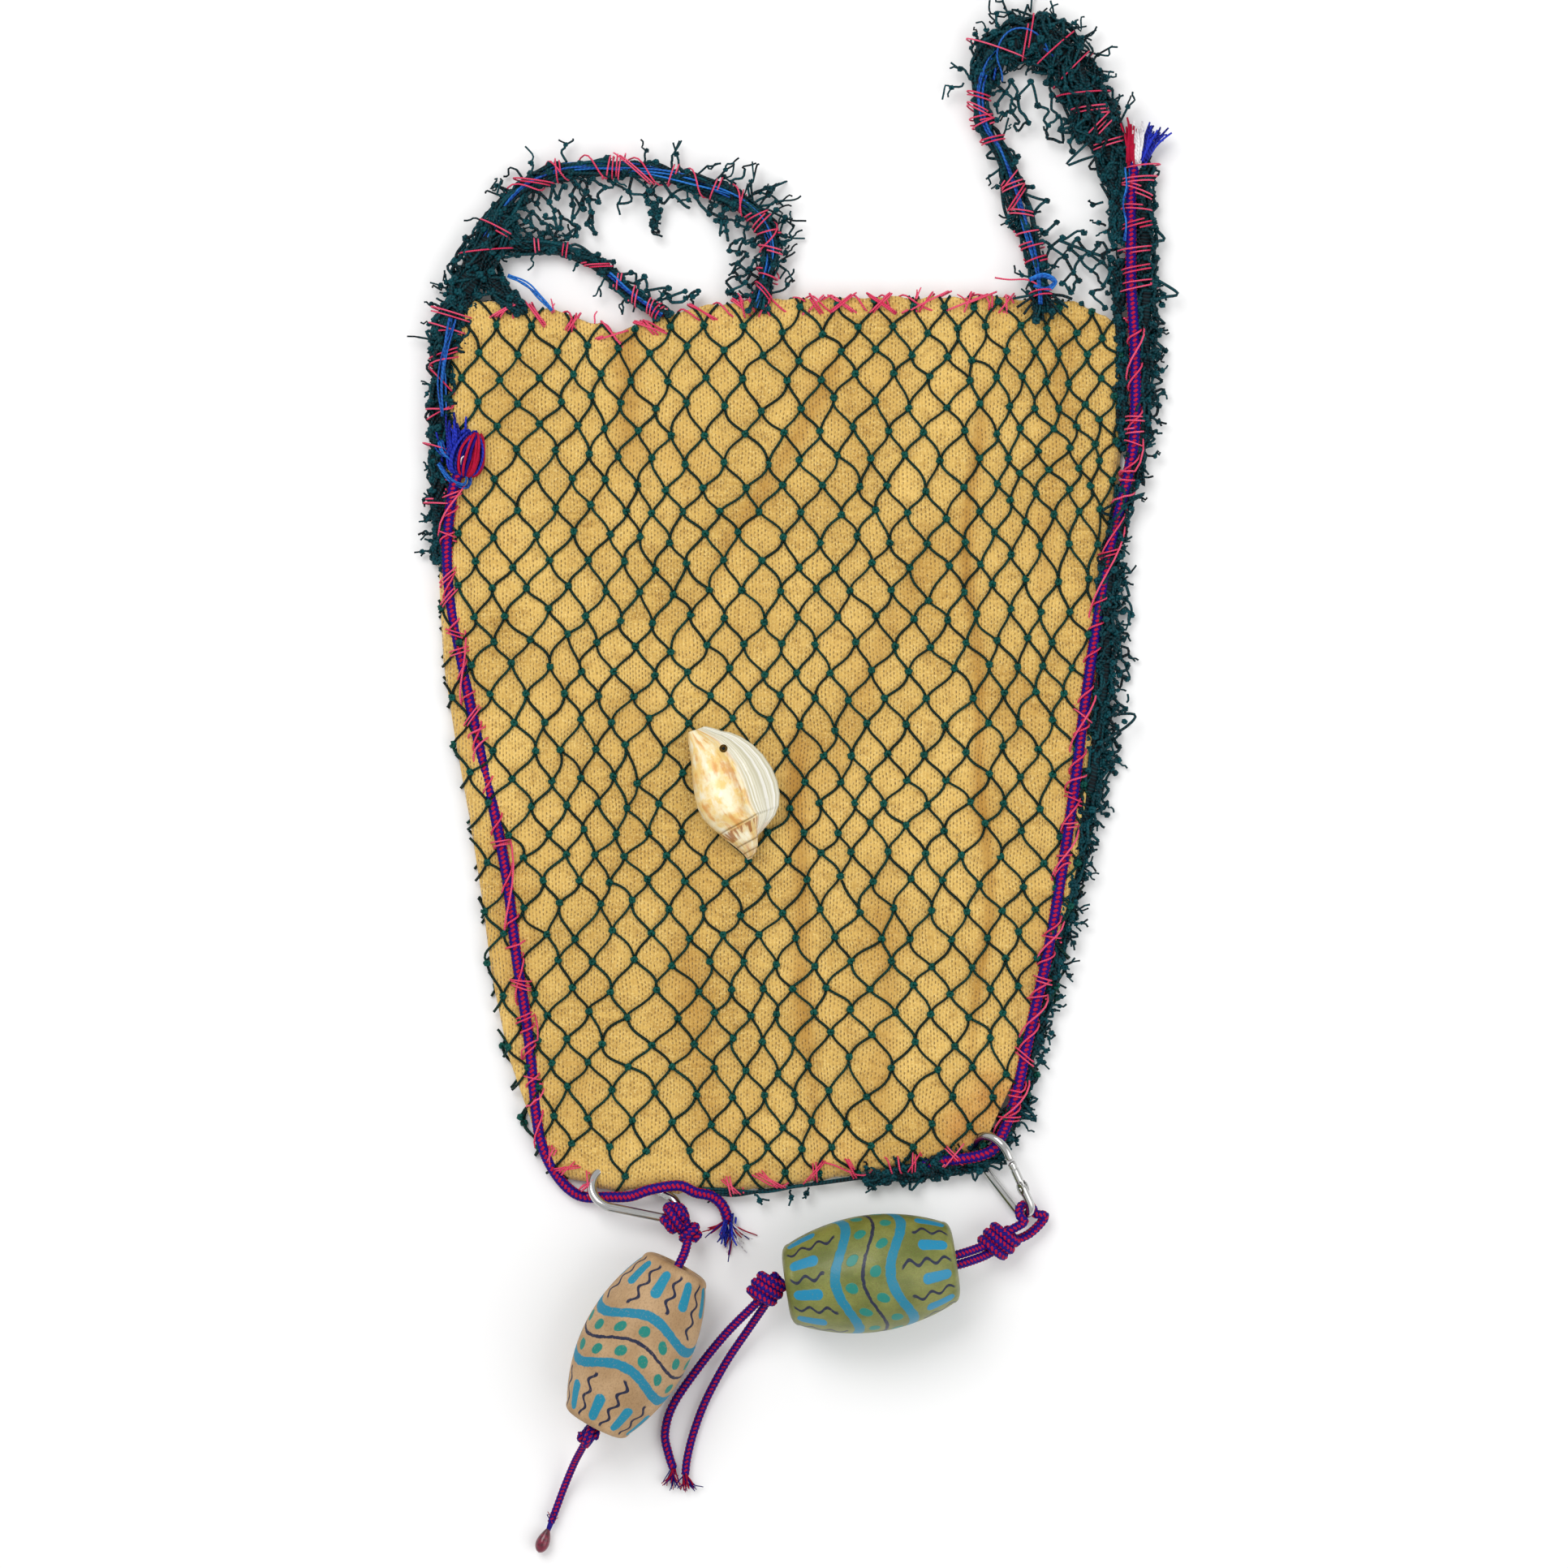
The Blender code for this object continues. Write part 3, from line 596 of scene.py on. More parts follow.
def bar_path(start, finish, rng, lift, height, gap):
    """Twine between two knots: leaves each knot steeply and bows out on the way."""
    a, b = np.array(start, float), np.array(finish, float)
    span = b - a
    steep = np.array([0.04 * span[0], 0.30 * span[1]])
    bow = rng.normal(0, 0.13, 2) * np.abs(span[::-1])
    c1, c2 = a + steep + 0.16 * span + bow, b - steep - 0.16 * span + bow
    t = np.linspace(0.06, 0.94, 7)[:, None]
    xy = (1 - t) ** 3 * a + 3 * (1 - t) ** 2 * t * c1 + 3 * (1 - t) * t ** 2 * c2 + t ** 3 * b
    z = height(xy[:, 0], xy[:, 1]) + gap + lift * np.sin(np.pi * t[:, 0])
    return np.column_stack([xy, z])


def net_panel(name, height, gap, seed, hook_spots):
    """Diamond net over one face of the bag, knot by knot."""
    rng = np.random.default_rng(seed)
    work = Strands()
    knots = {}
    for row in range(-18, 19):
        for step in range(-12, 13):
            column = step + 0.5 * (row % 2)
            x, y = net_point(np.float64(column), np.float64(row), seed)
            x, y = x + rng.normal(0, 0.85), y + rng.normal(0, 0.85)
            if inside_bag(x, y, -1.0) and not meets_hook([x], [y], hook_spots):
                knots[(2 * step + row % 2, row)] = (x, y)
    for (column, row), (x, y) in knots.items():
        tint = rng.uniform(0.7, 1.0)
        z = float(height(x, y))
        work.knot((x, y, z + gap + 0.45), rng, 1.12, tint)
        for side in (-1, 1):
            other = knots.get((column + side, row + 1))
            if other:
                path = bar_path((x, y), other, rng, rng.uniform(0.0, 0.9), height, gap)
                if not meets_hook(path[:, 0], path[:, 1], hook_spots):
                    work.tube(path, TWINE_R * rng.uniform(0.88, 1.1), 5, rng.uniform(0.0, 0.35))
    for (column, row), (x, y) in knots.items():
        for side in (-1, 1):
            for up in (-1, 1):
                if (column + side, row + up) not in knots:
                    wrap_bar(work, x, y, side, up, rng, height, gap, hook_spots)
    return work.build(name, NET)


def meets_hook(xs, ys, hook_spots):
    """True for twine that would run into a hook's wire where it swings over the hem."""
    return any(np.hypot(np.subtract(xs, x), np.subtract(ys, y)).min() < reach
               for x, y, reach in hook_spots)


def wrap_bar(work, x, y, side, up, rng, height, gap, hook_spots):
    """Half bar that runs from an outer knot to the edge of the bag and stops on it."""
    t = np.linspace(0.06, 1.3, 26)
    xs = x + side * MESH_W / 2 * t * (0.8 + 0.3 * t)
    ys = y + up * MESH_H * t ** 0.8
    outside = ((xs < edge(LEFT_EDGE, ys) - 0.5) | (xs > edge(RIGHT_EDGE, ys) + 0.5)
               | (ys > edge(MOUTH_EDGE, xs) + 0.3) | (ys < edge(BOTTOM_EDGE, xs) - 0.5))
    stop = int(np.argmax(outside)) + 1 if outside.any() else len(t)
    if stop > 2 and not meets_hook(xs[:stop], ys[:stop], hook_spots):
        zs = height(xs, ys) + gap
        work.tube(np.column_stack([xs, ys, zs])[:stop], TWINE_R, 5, rng.uniform(0.0, 0.35))


def under_z(x, y):
    """The back net lies between the cloth and the table."""
    return np.full_like(np.asarray(x, float), 0.75)


def make_nets():
    hem_spots = [(-92, -206, 6.5), (-74, -215, 4.3), (-55, -218, 8.0)]     # x, y, reach
    under_spots = [(-72, -209, 8.0), (97, -198, 6.0)]
    front = net_panel("net_over_front", front_z, 0.75, 3, hem_spots)
    seat(front, "bag", "net_front")
    back = net_panel("net_under_back", under_z, 0.0, 11, hem_spots + under_spots)
    seat(back, "bag", "net_back")


# ------------------------------------------------------------ floor, light and camera
def make_stage():
    bpy.ops.mesh.primitive_plane_add(size=12.0, location=(0, 0, -0.0006))
    floor = bpy.context.object
    floor.name = "floor"
    paint = Finish("pale_floor", 0.8)
    floor.data.materials.append(paint.done(srgb(250, 250, 250)))
    world = bpy.data.worlds.new("studio")
    world.use_nodes = True
    world.node_tree.nodes["Background"].inputs[0].default_value = (1.0, 1.0, 1.0, 1.0)
    world.node_tree.nodes["Background"].inputs[1].default_value = 0.62
    bpy.context.scene.world = world
    for label, spot, size, power in (("key", (-0.9, 1.3, 2.4), 1.6, 38.0),
                                     ("fill", (1.6, -0.8, 2.0), 2.2, 20.0)):
        light = bpy.data.lights.new(label, "AREA")
        light.energy, light.size = power, size
        lamp = bpy.data.objects.new(label, light)
        lamp.location = spot
        lamp.rotation_euler = (-Vector(spot)).to_track_quat("-Z", "Y").to_euler()
        bpy.context.scene.collection.objects.link(lamp)


VIEW_SIDE = 772.8                # width of floor that the picture covers
VIEW_CENTRE = (1.6, -16.4)
VIEW_DISTANCE = 2600.0


def make_camera():
    camera = bpy.data.cameras.new("camera")
    camera.sensor_width = 36.0
    camera.lens = 36.0 * VIEW_DISTANCE / VIEW_SIDE
    camera.clip_end = 100.0
    eye = bpy.data.objects.new("camera", camera)
    eye.location = (VIEW_CENTRE[0] * MM, VIEW_CENTRE[1] * MM, VIEW_DISTANCE * MM)
    bpy.context.scene.collection.objects.link(eye)
    bpy.context.scene.camera = eye
    bpy.context.scene.view_settings.view_transform = "Standard"


# ------------------------------------------------------------ cords, bundles and lashings
RED, PURPLE = 1.0, 0.0         # tint values of the two braid colours
ROYAL_TINTS, WHITE_TINTS = (0.1, 0.5, 0.9), (0.2, 0.8)


def braid(work, path, radius, lay=9.0, carriers=4):
    """Round braid: red carriers one way, blue-purple the other, passing over and under."""
    path = resample(np.asarray(path, float), lay / 12)
    _, side, up = frames(path)
    s = lengths(path)
    beat = np.cos(carriers * TAU * s / lay)
    work.tube(path, radius * 0.62, 8, 0.1)
    for k in range(carriers):
        for hand in (1, -1):
            angle = TAU * (k / carriers + hand * s / lay)
            radial = np.cos(angle)[:, None] * side + np.sin(angle)[:, None] * up
            centre = path + (radius * (0.80 + 0.09 * hand * beat))[:, None] * radial
            along = unit(np.gradient(centre, axis=0))
            across = unit(np.cross(radial, along))
            work.tube(centre, radius * (0.35 if hand > 0 else 0.46), 6, RED if hand > 0 else PURPLE,
                      axes=(along, across, radial), thick=radius * 0.20)


def fray(work, spot, heading, rng, count, length, spread, tints, thickness=0.32, droop=0.0, width=0.6):
    """Loose strands fanning out of a cut end, with an optional curl to one side."""
    heading = unit(heading)
    side = unit(np.cross(heading, (0, 0, 1.0)))
    for _ in range(count):
        lean = rng.normal(0, spread) * side + np.array([0, 0, rng.normal(0, spread * 0.45)])
        reach = length * rng.uniform(0.65, 1.1)
        t = np.linspace(0, 1, 9)[:, None]
        curl = np.column_stack([wander(rng, 9, 0.8, 2), wander(rng, 9, 0.8, 2), wander(rng, 9, 0.4, 2)])
        fall = droop * reach * (0.6 * t ** 2 * side - 1.1 * t ** 3 * heading)
        path = (spot + rng.normal(0, width, 3) * (1, 1,
                                                  0.6) + reach * t * heading + lean * reach * t ** 1.5
                + fall + curl * t)
        keep_above(path, 0.6)
        work.tube(path, thickness * (1 - 0.3 * t[:, 0] ** 3), 5, tints[rng.integers(len(tints))])


def bulb(work, base, heading, rng, count, tall, wide, arc, tints):
    """Strands that swell out of a cut end and fold back into it, like a bud."""
    heading = unit(heading)
    side = unit(np.cross(heading, (0, 0, 1.0)))
    up = np.cross(side, heading)
    t = np.linspace(0, 1, 14)[:, None]
    for _ in range(count):
        angle, share = rng.uniform(*arc), rng.uniform(0.55, 1.0)
        spoke = math.cos(angle) * side + 0.7 * math.sin(angle) * up
        bow = wander(rng, 14, 0.7, 3)[:, None] * side
        rise, swell = (1 - np.cos(2.3 * t)) / 1.67, np.sin(3.0 * t) ** 0.7
        path = base + tall * share ** 0.5 * rise * heading + wide * share * swell * spoke + bow * t
        keep_above(path, 1.0)
        work.tube(path, 0.75, 5, tints[rng.integers(len(tints))])


def slack_bar(work, a, b, rng, slack, radius=0.76, tint=None):
    """Twine between two knots that is longer than their distance."""
    side = rng.normal(0, slack, 3) * (1, 1, 0.6)
    other = side * rng.uniform(-0.6, 0.9)
    path = smooth([a, a + (b - a) * 0.33 + side, a + (b - a) * 0.68 + other, b], 1.7)
    keep_above(path, 0.8)
    work.tube(path, radius * rng.uniform(0.88, 1.12), 5, rng.uniform(0, 0.75) if tint is None else tint)


def gathered(work, path, rng, radius, across=6, pitch=6.0, squash=0.7, slack=1.5, core=0.55):
    """Net gathered into a rope: crumpled meshes, knot by knot, round a dark middle tube that is painted
    shade for the bundle's inside.
    """
    path = resample(np.asarray(path, float), pitch)
    _, side, up = frames(path)
    n = len(path)
    radius = np.interp(np.linspace(0, 1, n), np.linspace(0, 1, len(np.atleast_1d(radius))),
                       np.atleast_1d(radius))
    # core: a tube at the darkest tint, painted shade inside the bundle
    if core:
        work.tube(path, radius * core * (1 + wander(rng, n, 0.12, n)), 8, 0.0,
                  thick=radius * core * squash)
    rows = []
    for i in range(n):
        angle = TAU * (np.arange(across) + 0.5 * (i % 2)) / across + rng.normal(0, 0.5, across) + i * 0.35
        reach = radius[i] * np.sqrt(rng.uniform(0.25, 1.1, across))
        row = (path[i] + rng.normal(0, pitch * 0.22, (across, 1)) * unit(np.cross(side[i], up[i]))
               + (reach * np.cos(angle))[:, None] * side[i]
               + (squash * reach * np.sin(angle))[:, None] * up[i])
        keep_above(row, 1.3)
        rows.append(row)
    for i in range(n):
        for k in range(across):
            work.knot(rows[i][k], rng, rng.uniform(0.9, 1.25), rng.uniform(0.45, 1.0))
            if i + 1 < n:
                for other in (k, (k + (1 if i % 2 else -1)) % across):
                    loose = slack * (2.2 if rng.random() < 0.12 else 1.0)
                    slack_bar(work, rows[i][k], rows[i + 1][other], rng, loose)


def whiskers(work, path, rng, count, length, outward=0.0, radius=4.0):
    """Cut meshes that stick out of a bundle: a short bar, a knot and its loose ends."""
    path = resample(np.asarray(path, float), 3.0)
    tangent, side, _ = frames(path)
    for _ in range(count):
        i = rng.integers(len(path))
        lean = side[i] * (rng.choice([-1, 1]) if outward == 0 else math.copysign(1, outward))
        heading = unit(lean + rng.normal(0, 0.6) * tangent[i] + np.array([0, 0, rng.normal(0, 0.2)]))
        start = path[i] + lean * radius * rng.uniform(0.3, 0.9)
        knot = start + heading * length * rng.uniform(0.3, 0.8)
        knot[2] = max(knot[2], 1.2)
        slack_bar(work, start, knot, rng, 0.12 * length, 0.62)
        if rng.random() < 0.6:
            work.knot(knot, rng, rng.uniform(0.65, 0.9), rng.uniform(0.4, 1))
        for _ in range(rng.integers(1, 3)):
            turn = unit(heading + rng.normal(0, 0.8, 3) * (1, 1, 0.3))
            tip = knot + turn * length * rng.uniform(0.3, 0.7)
            tip[2] = max(tip[2], 0.7)
            slack_bar(work, knot, tip, rng, 0.12 * length, 0.5)


def loose_net(work, top, bottom, rng, cell=9.0, keep=0.9, slack=1.1):
    """Torn open net between two curves; bars go missing towards the second one."""
    top, bottom = smooth(top, 1.0), smooth(bottom, 1.0)
    columns = max(2, int(lengths(top)[-1] / cell))
    depth = np.linalg.norm(np.mean(top, axis=0) - np.mean(bottom, axis=0))
    rows = max(1, int(round(depth / (cell * 0.62))))
    knots = {}
    for j in range(rows + 1):
        for i in range(columns + 1):
            at = np.clip((i + 0.5 * (j % 2)) / columns, 0, 1)
            a, b = top[int(at * (len(top) - 1))], bottom[int(at * (len(bottom) - 1))]
            spot = a + (b - a) * j / rows + rng.normal(0, cell * 0.13, 3) * (1, 1, 0.5)
            spot[2] = max(spot[2], 1.2)
            knots[i, j] = spot
    for (i, j), spot in knots.items():
        chance = keep - 0.28 * (j / rows) ** 2
        linked = False
        for other in ((i, j + 1), (i + (1 if j % 2 else -1), j + 1)):
            if other in knots and rng.random() < chance:
                slack_bar(work, spot, knots[other], rng, slack)
                linked = True
        if linked or j < rows or rng.random() < 0.5:
            work.knot(spot, rng, rng.uniform(0.8, 1.05), rng.uniform(0.4, 1))
        if j == rows or (not linked and rng.random() < 0.7):
            for _ in range(rng.integers(0, 3)):
                tip = spot + rng.normal(0, 3.2, 3) * (1, 1, 0.2)
                tip[2] = max(tip[2], 0.7)
                slack_bar(work, spot, tip, rng, 0.7, 0.52)


def coil(path, radius, pitch, rng, flat=1.0, jitter=0.4):
    """Open helix round a path, with an uneven pitch."""
    path = resample(np.asarray(path, float), 2.0)
    _, side, up = frames(path)
    s = lengths(path)
    per_turn = 12
    count = int(s[-1] / pitch * per_turn)
    at = np.sort(np.clip(np.linspace(0, s[-1], count) + wander(rng, count, pitch * jitter, s[-1] / pitch),
                         0, s[-1]))
    centre = np.stack([np.interp(at, s, path[:, k]) for k in range(3)], 1)
    across = np.stack([np.interp(at, s, side[:, k]) for k in range(3)], 1)
    above = np.stack([np.interp(at, s, up[:, k]) for k in range(3)], 1)
    angle = TAU * np.arange(count) / per_turn
    helix = centre + radius * (np.cos(angle)[:, None] * across + flat * np.sin(angle)[:, None] * above)
    keep_above(helix, 0.5)
    return helix


def wraps(work, path, spots, rng, radius, turns=1.2, pitch=2.0, flat=1.0, thread=0.42, slant=0.45):
    """One or two slanting turns of thread round a path, nearest to the given places."""
    path = resample(np.asarray(path, float), 1.0)
    tangent, side, up = frames(path)
    for spot in spots:
        i = int(np.argmin(np.linalg.norm(path[:, :2] - np.asarray(spot[:2], float), axis=1)))
        count = int(turns * rng.uniform(0.8, 1.5) * 16) + 8
        angle = rng.uniform(0, TAU) + TAU * np.arange(count) / 16
        lean = rng.normal(0, slant)
        reach = radius * rng.uniform(0.95, 1.1) * (1 + wander(rng, count, 0.09, 4))
        run = pitch * (np.arange(count) / 16 - count / 32) + lean * reach * np.cos(angle)
        ring = (path[i] + run[:, None] * tangent[i]
                + (reach * np.cos(angle))[:, None] * side[i]
                + (flat * reach * np.sin(angle))[:, None] * up[i])
        keep_above(ring, 0.5)
        work.tube(ring, thread, 5, rng.uniform(0.2, 0.9))


def strands_along(work, path, rng, count, reach, radius, above=0.0, sway=9.0):
    """Separate thin strands that weave in and out of a bundle."""
    n = len(path)
    _, side, _ = frames(path)
    for _ in range(count):
        swings = lengths(path)[-1] / sway
        out = wander(rng, n, reach * 0.45, swings)
        rise = above + wander(rng, n, reach * 0.35, swings)
        strand = path + out[:, None] * side + rise[:, None] * np.array([0, 0, 1.0])
        keep_above(strand, 0.7)
        work.tube(strand, radius * rng.uniform(0.8, 1.2), 5, rng.uniform(0, 1))


LEFT_CORD = [(-157.5, 137, 10.5), (-161, 128, 8.5), (-164, 102, 7), (-163, 80, 6.5),
             (-160, 60, 6.5), (-152, 20, 7), (-143, -20, 7.5), (-135, -60,
                                                                8), (-130, -100, 8), (-124, -140, 8),
             (-120, -180, 7.5), (-117, -195, 6.5), (-112, -206, 5), (-105, -215, 4), (-97, -219.5, 4),
             (-85, -219.5, 5.5), (-74, -219, 7.5), (-64, -215.5, 10.5), (-50, -213.5, 10.8),
             (-42, -217, 9), (-34, -219, 6.5), (-28.5, -224, 5), (-26, -231, 3.6)]
RIGHT_CORD = [(174, 289, 8.5), (172, 275, 9), (172, 255, 9.5), (172, 230, 9.5), (173, 214, 9),
              (174, 195, 8.5), (174, 160, 8.5), (171, 137, 8), (162, 100,
                                                                7.5), (155, 60, 7.5), (149, 20, 8),
              (144, -20, 8.5), (138, -60, 8.5), (131, -100, 8.5), (122, -140, 8.5), (116, -168, 8.5),
              (112, -181, 7.5), (108, -190, 8.5), (104, -196, 11), (97, -199, 11.2), (89, -200.5, 9.5),
              (80, -202, 6), (66, -205, 4.5)]
SIDE_CORD_R = 2.7


def make_side_cords():
    rng = np.random.default_rng(41)
    left_path, right_path = smooth(LEFT_CORD, 1.5), smooth(RIGHT_CORD, 1.5)
    top, foot = left_path[0], left_path[-1]
    left, royal, white = Strands(), Strands(), Strands()
    braid(left, left_path, SIDE_CORD_R)
    bulb(left, top + (2.5, -2, 0.6), (0.25, 1, 0.1), rng, 30, 22, 8.0, (-1.6, 2.4), (RED, RED, PURPLE))
    bulb(royal, top + (1, -2, -1), (0.2, 1, 0.1), rng, 46, 23, 9.5, (-3.1, 3.1), ROYAL_TINTS)
    fray(royal, top + (-1.5, 4, 0), (-0.1, 1, 0.1), rng, 30, 20, 0.12, ROYAL_TINTS, 0.7, 0.0, 2.4)
    fray(royal, foot + (0.5, 1, 0), (-0.1, -1, 0), rng, 26, 13, 0.16, ROYAL_TINTS, 0.5, 0.1, 1.6)
    fray(left, foot, (0.9, -1, 0), rng, 9, 15, 0.5, (RED, PURPLE), 0.4)
    fray(left, foot, (-0.9, -0.8, 0), rng, 7, 13, 0.3, (RED, PURPLE), 0.4)
    fray(white, top + (0.5, 2, 1.5), (0.1, 1, 0.3), rng, 7, 15, 0.12, WHITE_TINTS, 0.5, 0.5, 1.2)
    fray(white, foot + (0.8, -2, 0.3), (0.4, -1, 0), rng, 12, 12, 0.3, WHITE_TINTS, 0.4, 0.0, 1.0)
    seat(left.build("left_cord_braid", BRAID), "bag", "left_side_cord")
    seat(royal.build("left_cord_tuft", ROYAL), "bag")
    seat(white.build("left_cord_core", WHITE), "bag")
    top, foot = right_path[0], right_path[-1]
    right, royal, white = Strands(), Strands(), Strands()
    braid(right, right_path, SIDE_CORD_R)
    fray(right, top + (-1.8, 0, 1.5), (-0.07, 1, 0.15), rng, 24, 18, 0.07, (RED,), 0.7, 0.0, 1.1)
    fray(right, foot, (-1, -0.2, 0), rng, 16, 7, 0.4, (RED, PURPLE))
    fray(royal, top + (2.8, 0, 0.5), (0.36, 1, 0.05), rng, 26, 19, 0.12, ROYAL_TINTS, 0.7, 0.05, 1.4)
    fray(royal, top + (4.5, 7, 0.5), (0.9, 1, 0.0), rng, 16, 13, 0.35, ROYAL_TINTS, 0.6, 0.1, 1.0)
    fray(white, top + (0.6, -2, 1.6), (0.08, 1, 0.1), rng, 26, 20, 0.07, WHITE_TINTS, 0.7, 0.0, 1.1)
    fold(right.build("right_cord_braid", BRAID), "right_handle", "right_side_cord", "right_cord_end")
    seat(royal.build("right_cord_tuft", ROYAL), "right_handle")
    seat(white.build("right_cord_core", WHITE), "right_handle")
    for side, path, node in (("left", left_path, "left_side_lashing"),
                             ("right", right_path, "right_side_lashing")):
        thread = Strands()
        keep = path[(path[:, 1] > -196) & (path[:, 1] < (132 if side == "left" else 214))]
        thread.tube(coil(keep, 3.6, 19.0, rng, jitter=0.35), 0.5, 5, 0.4)
        thread.tube(coil(keep + (0.3, 0, 0.4), 4.8, 41.0, rng), 0.5, 5, 0.7)
        wraps(thread, keep, keep[rng.integers(0, len(keep), 12)], rng, 4.6, 1.1)
        seat(thread.build(side + "_spiral_lashing", THREAD), "bag", node)


LEFT_ARCH = [(-148, 243, 7), (-141, 257, 7.5), (-134, 268, 7), (-124, 278, 7), (-110, 285, 7),
             (-95, 287, 7), (-75, 286, 7), (-55, 283, 7), (-35, 277, 7), (-20, 270, 7), (-10, 261, 7),
             (-5, 250, 7), (-5, 240, 7), (-8, 228, 8), (-11, 217, 10.5)]
CORNER = [(-166, 200, 6.5), (-160, 218, 7), (-152, 234, 7.5), (-143, 250, 7.5), (-135, 264, 7)]
INNER_STRAND = [(-148, 244, 6.5), (-135, 247, 6.5), (-120, 248, 6.5), (-106, 246, 6.5), (-94, 241, 6.5),
                (-84, 234, 6.5), (-75, 226, 7), (-66, 219.5, 8.5), (-58, 214, 10.5)]
RIGHT_ARCH = [(128.5, 215, 11), (128, 226, 8), (125, 242, 7), (120, 258, 7), (116, 272, 7), (112, 284, 7),
              (107, 296, 7), (101, 305, 7), (98, 316, 7), (98, 328, 7.5), (103, 340, 8)]
RIGHT_TOP = [(99, 326, 8), (103, 341, 8), (114, 349, 8), (127, 349, 8), (138, 341, 8), (146, 328, 8),
             (153, 314, 8), (160, 300, 7.5), (164, 286, 7.5), (166, 270, 7), (166, 252, 7)]
RIGHT_ROLL = [(177, 298, 6), (178, 280, 6), (178, 255, 6), (179, 230, 5.8), (179, 205, 5.8),
              (178, 180, 5.8),
              (177, 158, 5.8), (173, 136, 6.5), (166, 112, 7), (161, 88,
                                                                7.5), (160, 60, 6.5), (158, 30, 6),
              (155, 0, 6), (150, -30, 5.8), (145, -60, 5.5), (137, -95,
                                                              5.2), (130, -125, 5), (122, -155, 4.8),
              (116, -178, 4.6), (110, -190, 4.5)]
LEFT_ROLL = [(-157, 224, 6.5), (-163, 206, 6.2), (-166, 188, 6), (-167.5, 165, 6),
             (-167.5, 140, 5.8), (-168, 115, 5.4), (-168, 92, 4.6)]
NET_Z = 6.5


def raised(points, z=NET_Z):
    """Points of the plane at one height."""
    return [(x, y, z) for x, y in points]


def make_left_handle():
    rng = np.random.default_rng(52)
    arch, corner, inner = smooth(LEFT_ARCH, 2.0), smooth(CORNER, 2.0), smooth(INNER_STRAND, 2.0)
    net = Strands()
    gathered(net, arch, rng, [6.0, 5.6, 5.0, 4.6, 4.6, 5.0, 5.2, 4.8], across=5, pitch=12, slack=1.1,
             core=0)
    strands_along(net, arch, rng, 11, 4.4, 0.85, sway=26)
    gathered(net, corner, rng, [7, 9.5, 11, 10.5, 7], across=9, pitch=10, squash=0.5, slack=1.8)
    branch = smooth([(-149, 246, 7), (-144, 233, 7), (-137, 224, 8), (-128, 217, 10)], 2.0)
    gathered(net, branch, rng, [7.0, 7.5, 6.0, 3.5], across=6, pitch=8, slack=1.8)
    gathered(net, inner, rng, [5.5, 3.6, 3.2, 3.2, 3.6], across=4, pitch=9, slack=1.0, core=0)
    strands_along(net, inner, rng, 8, 3.6, 0.85, sway=24)
    loose_net(net, raised([(-138, 262), (-130, 273), (-116, 281), (-96, 284)]),
              raised([(-130, 250), (-117, 251), (-104, 252), (-93, 254)]), rng, 7.0)
    loose_net(net, raised([(-104, 283), (-75, 283), (-50, 279), (-28, 272)]),
              raised([(-98, 268), (-75, 270), (-50, 268), (-27, 258)]), rng, 11.0, slack=1.8)
    loose_net(net, raised([(-65, 270), (-59, 270)]), raised([(-64, 257), (-61, 254)]), rng, 6.0)
    loose_net(net, raised([(-28, 270), (-15, 262), (-9, 250), (-9, 236), (-12, 224)]),
              raised([(-31, 260), (-26, 248), (-25, 240), (-25, 232), (-29, 224)]), rng, 7.0)
    loose_net(net, raised([(-90, 244), (-76, 236), (-58, 229), (-40, 224)]),
              raised([(-92, 240), (-80, 231), (-66, 221), (-44, 219)], 8), rng, 8.0)
    whiskers(net, arch[8:], rng, 22, 13, outward=-1)
    whiskers(net, arch[-40:-14], rng, 12, 17, outward=-1, radius=5)
    whiskers(net, arch[20:], rng, 9, 9, outward=1)
    whiskers(net, corner, rng, 16, 9, radius=10)
    whiskers(net, inner, rng, 9, 8)
    fold(net.build("left_handle_net", BUNDLE), "left_handle", "left_handle_rope", "left_inner_strand")
    blue = Strands()
    strands_along(blue, arch[4:], rng, 5, 3.4, 0.55, above=1.6, sway=26)
    strands_along(blue, inner[34:], rng, 4, 2.0, 0.55, above=2.6, sway=20)
    strands_along(blue, smooth([(-134, 233, 11), (-124, 228, 12), (-117, 222, 12), (-112, 216, 12)], 2),
                  rng, 3,
                  1.6, 0.55)
    fold(blue.build("left_handle_blue", BLUE), "left_handle", "left_handle_blue_strand")
    pink = Strands()
    spots = [(-121, 279), (-109, 285), (-85, 287), (-82, 287), (-79, 287), (-72, 286), (-53, 282),
             (-32, 275),
             (-20, 269), (-12, 263), (-9, 260), (-6, 255), (-5, 246), (-6, 233), (-9, 226)]
    wraps(pink, arch, spots, rng, 5.6, 0.9)
    pink.tube(coil(arch[10:-8], 5.8, 23.0, rng), 0.45, 5, 0.5)
    wraps(pink, inner, [(-120, 247), (-106, 246), (-90, 239), (-80, 230), (-72, 223), (-64, 217),
                        (-60, 214)], rng,
          3.8, 1.4)
    wraps(pink, corner, [(-163, 208), (-161, 214), (-146, 246), (-140, 256)], rng, 9.5, 0.8, flat=0.6)
    fold(pink.build("left_handle_thread", THREAD), "left_handle", "left_handle_lashing")


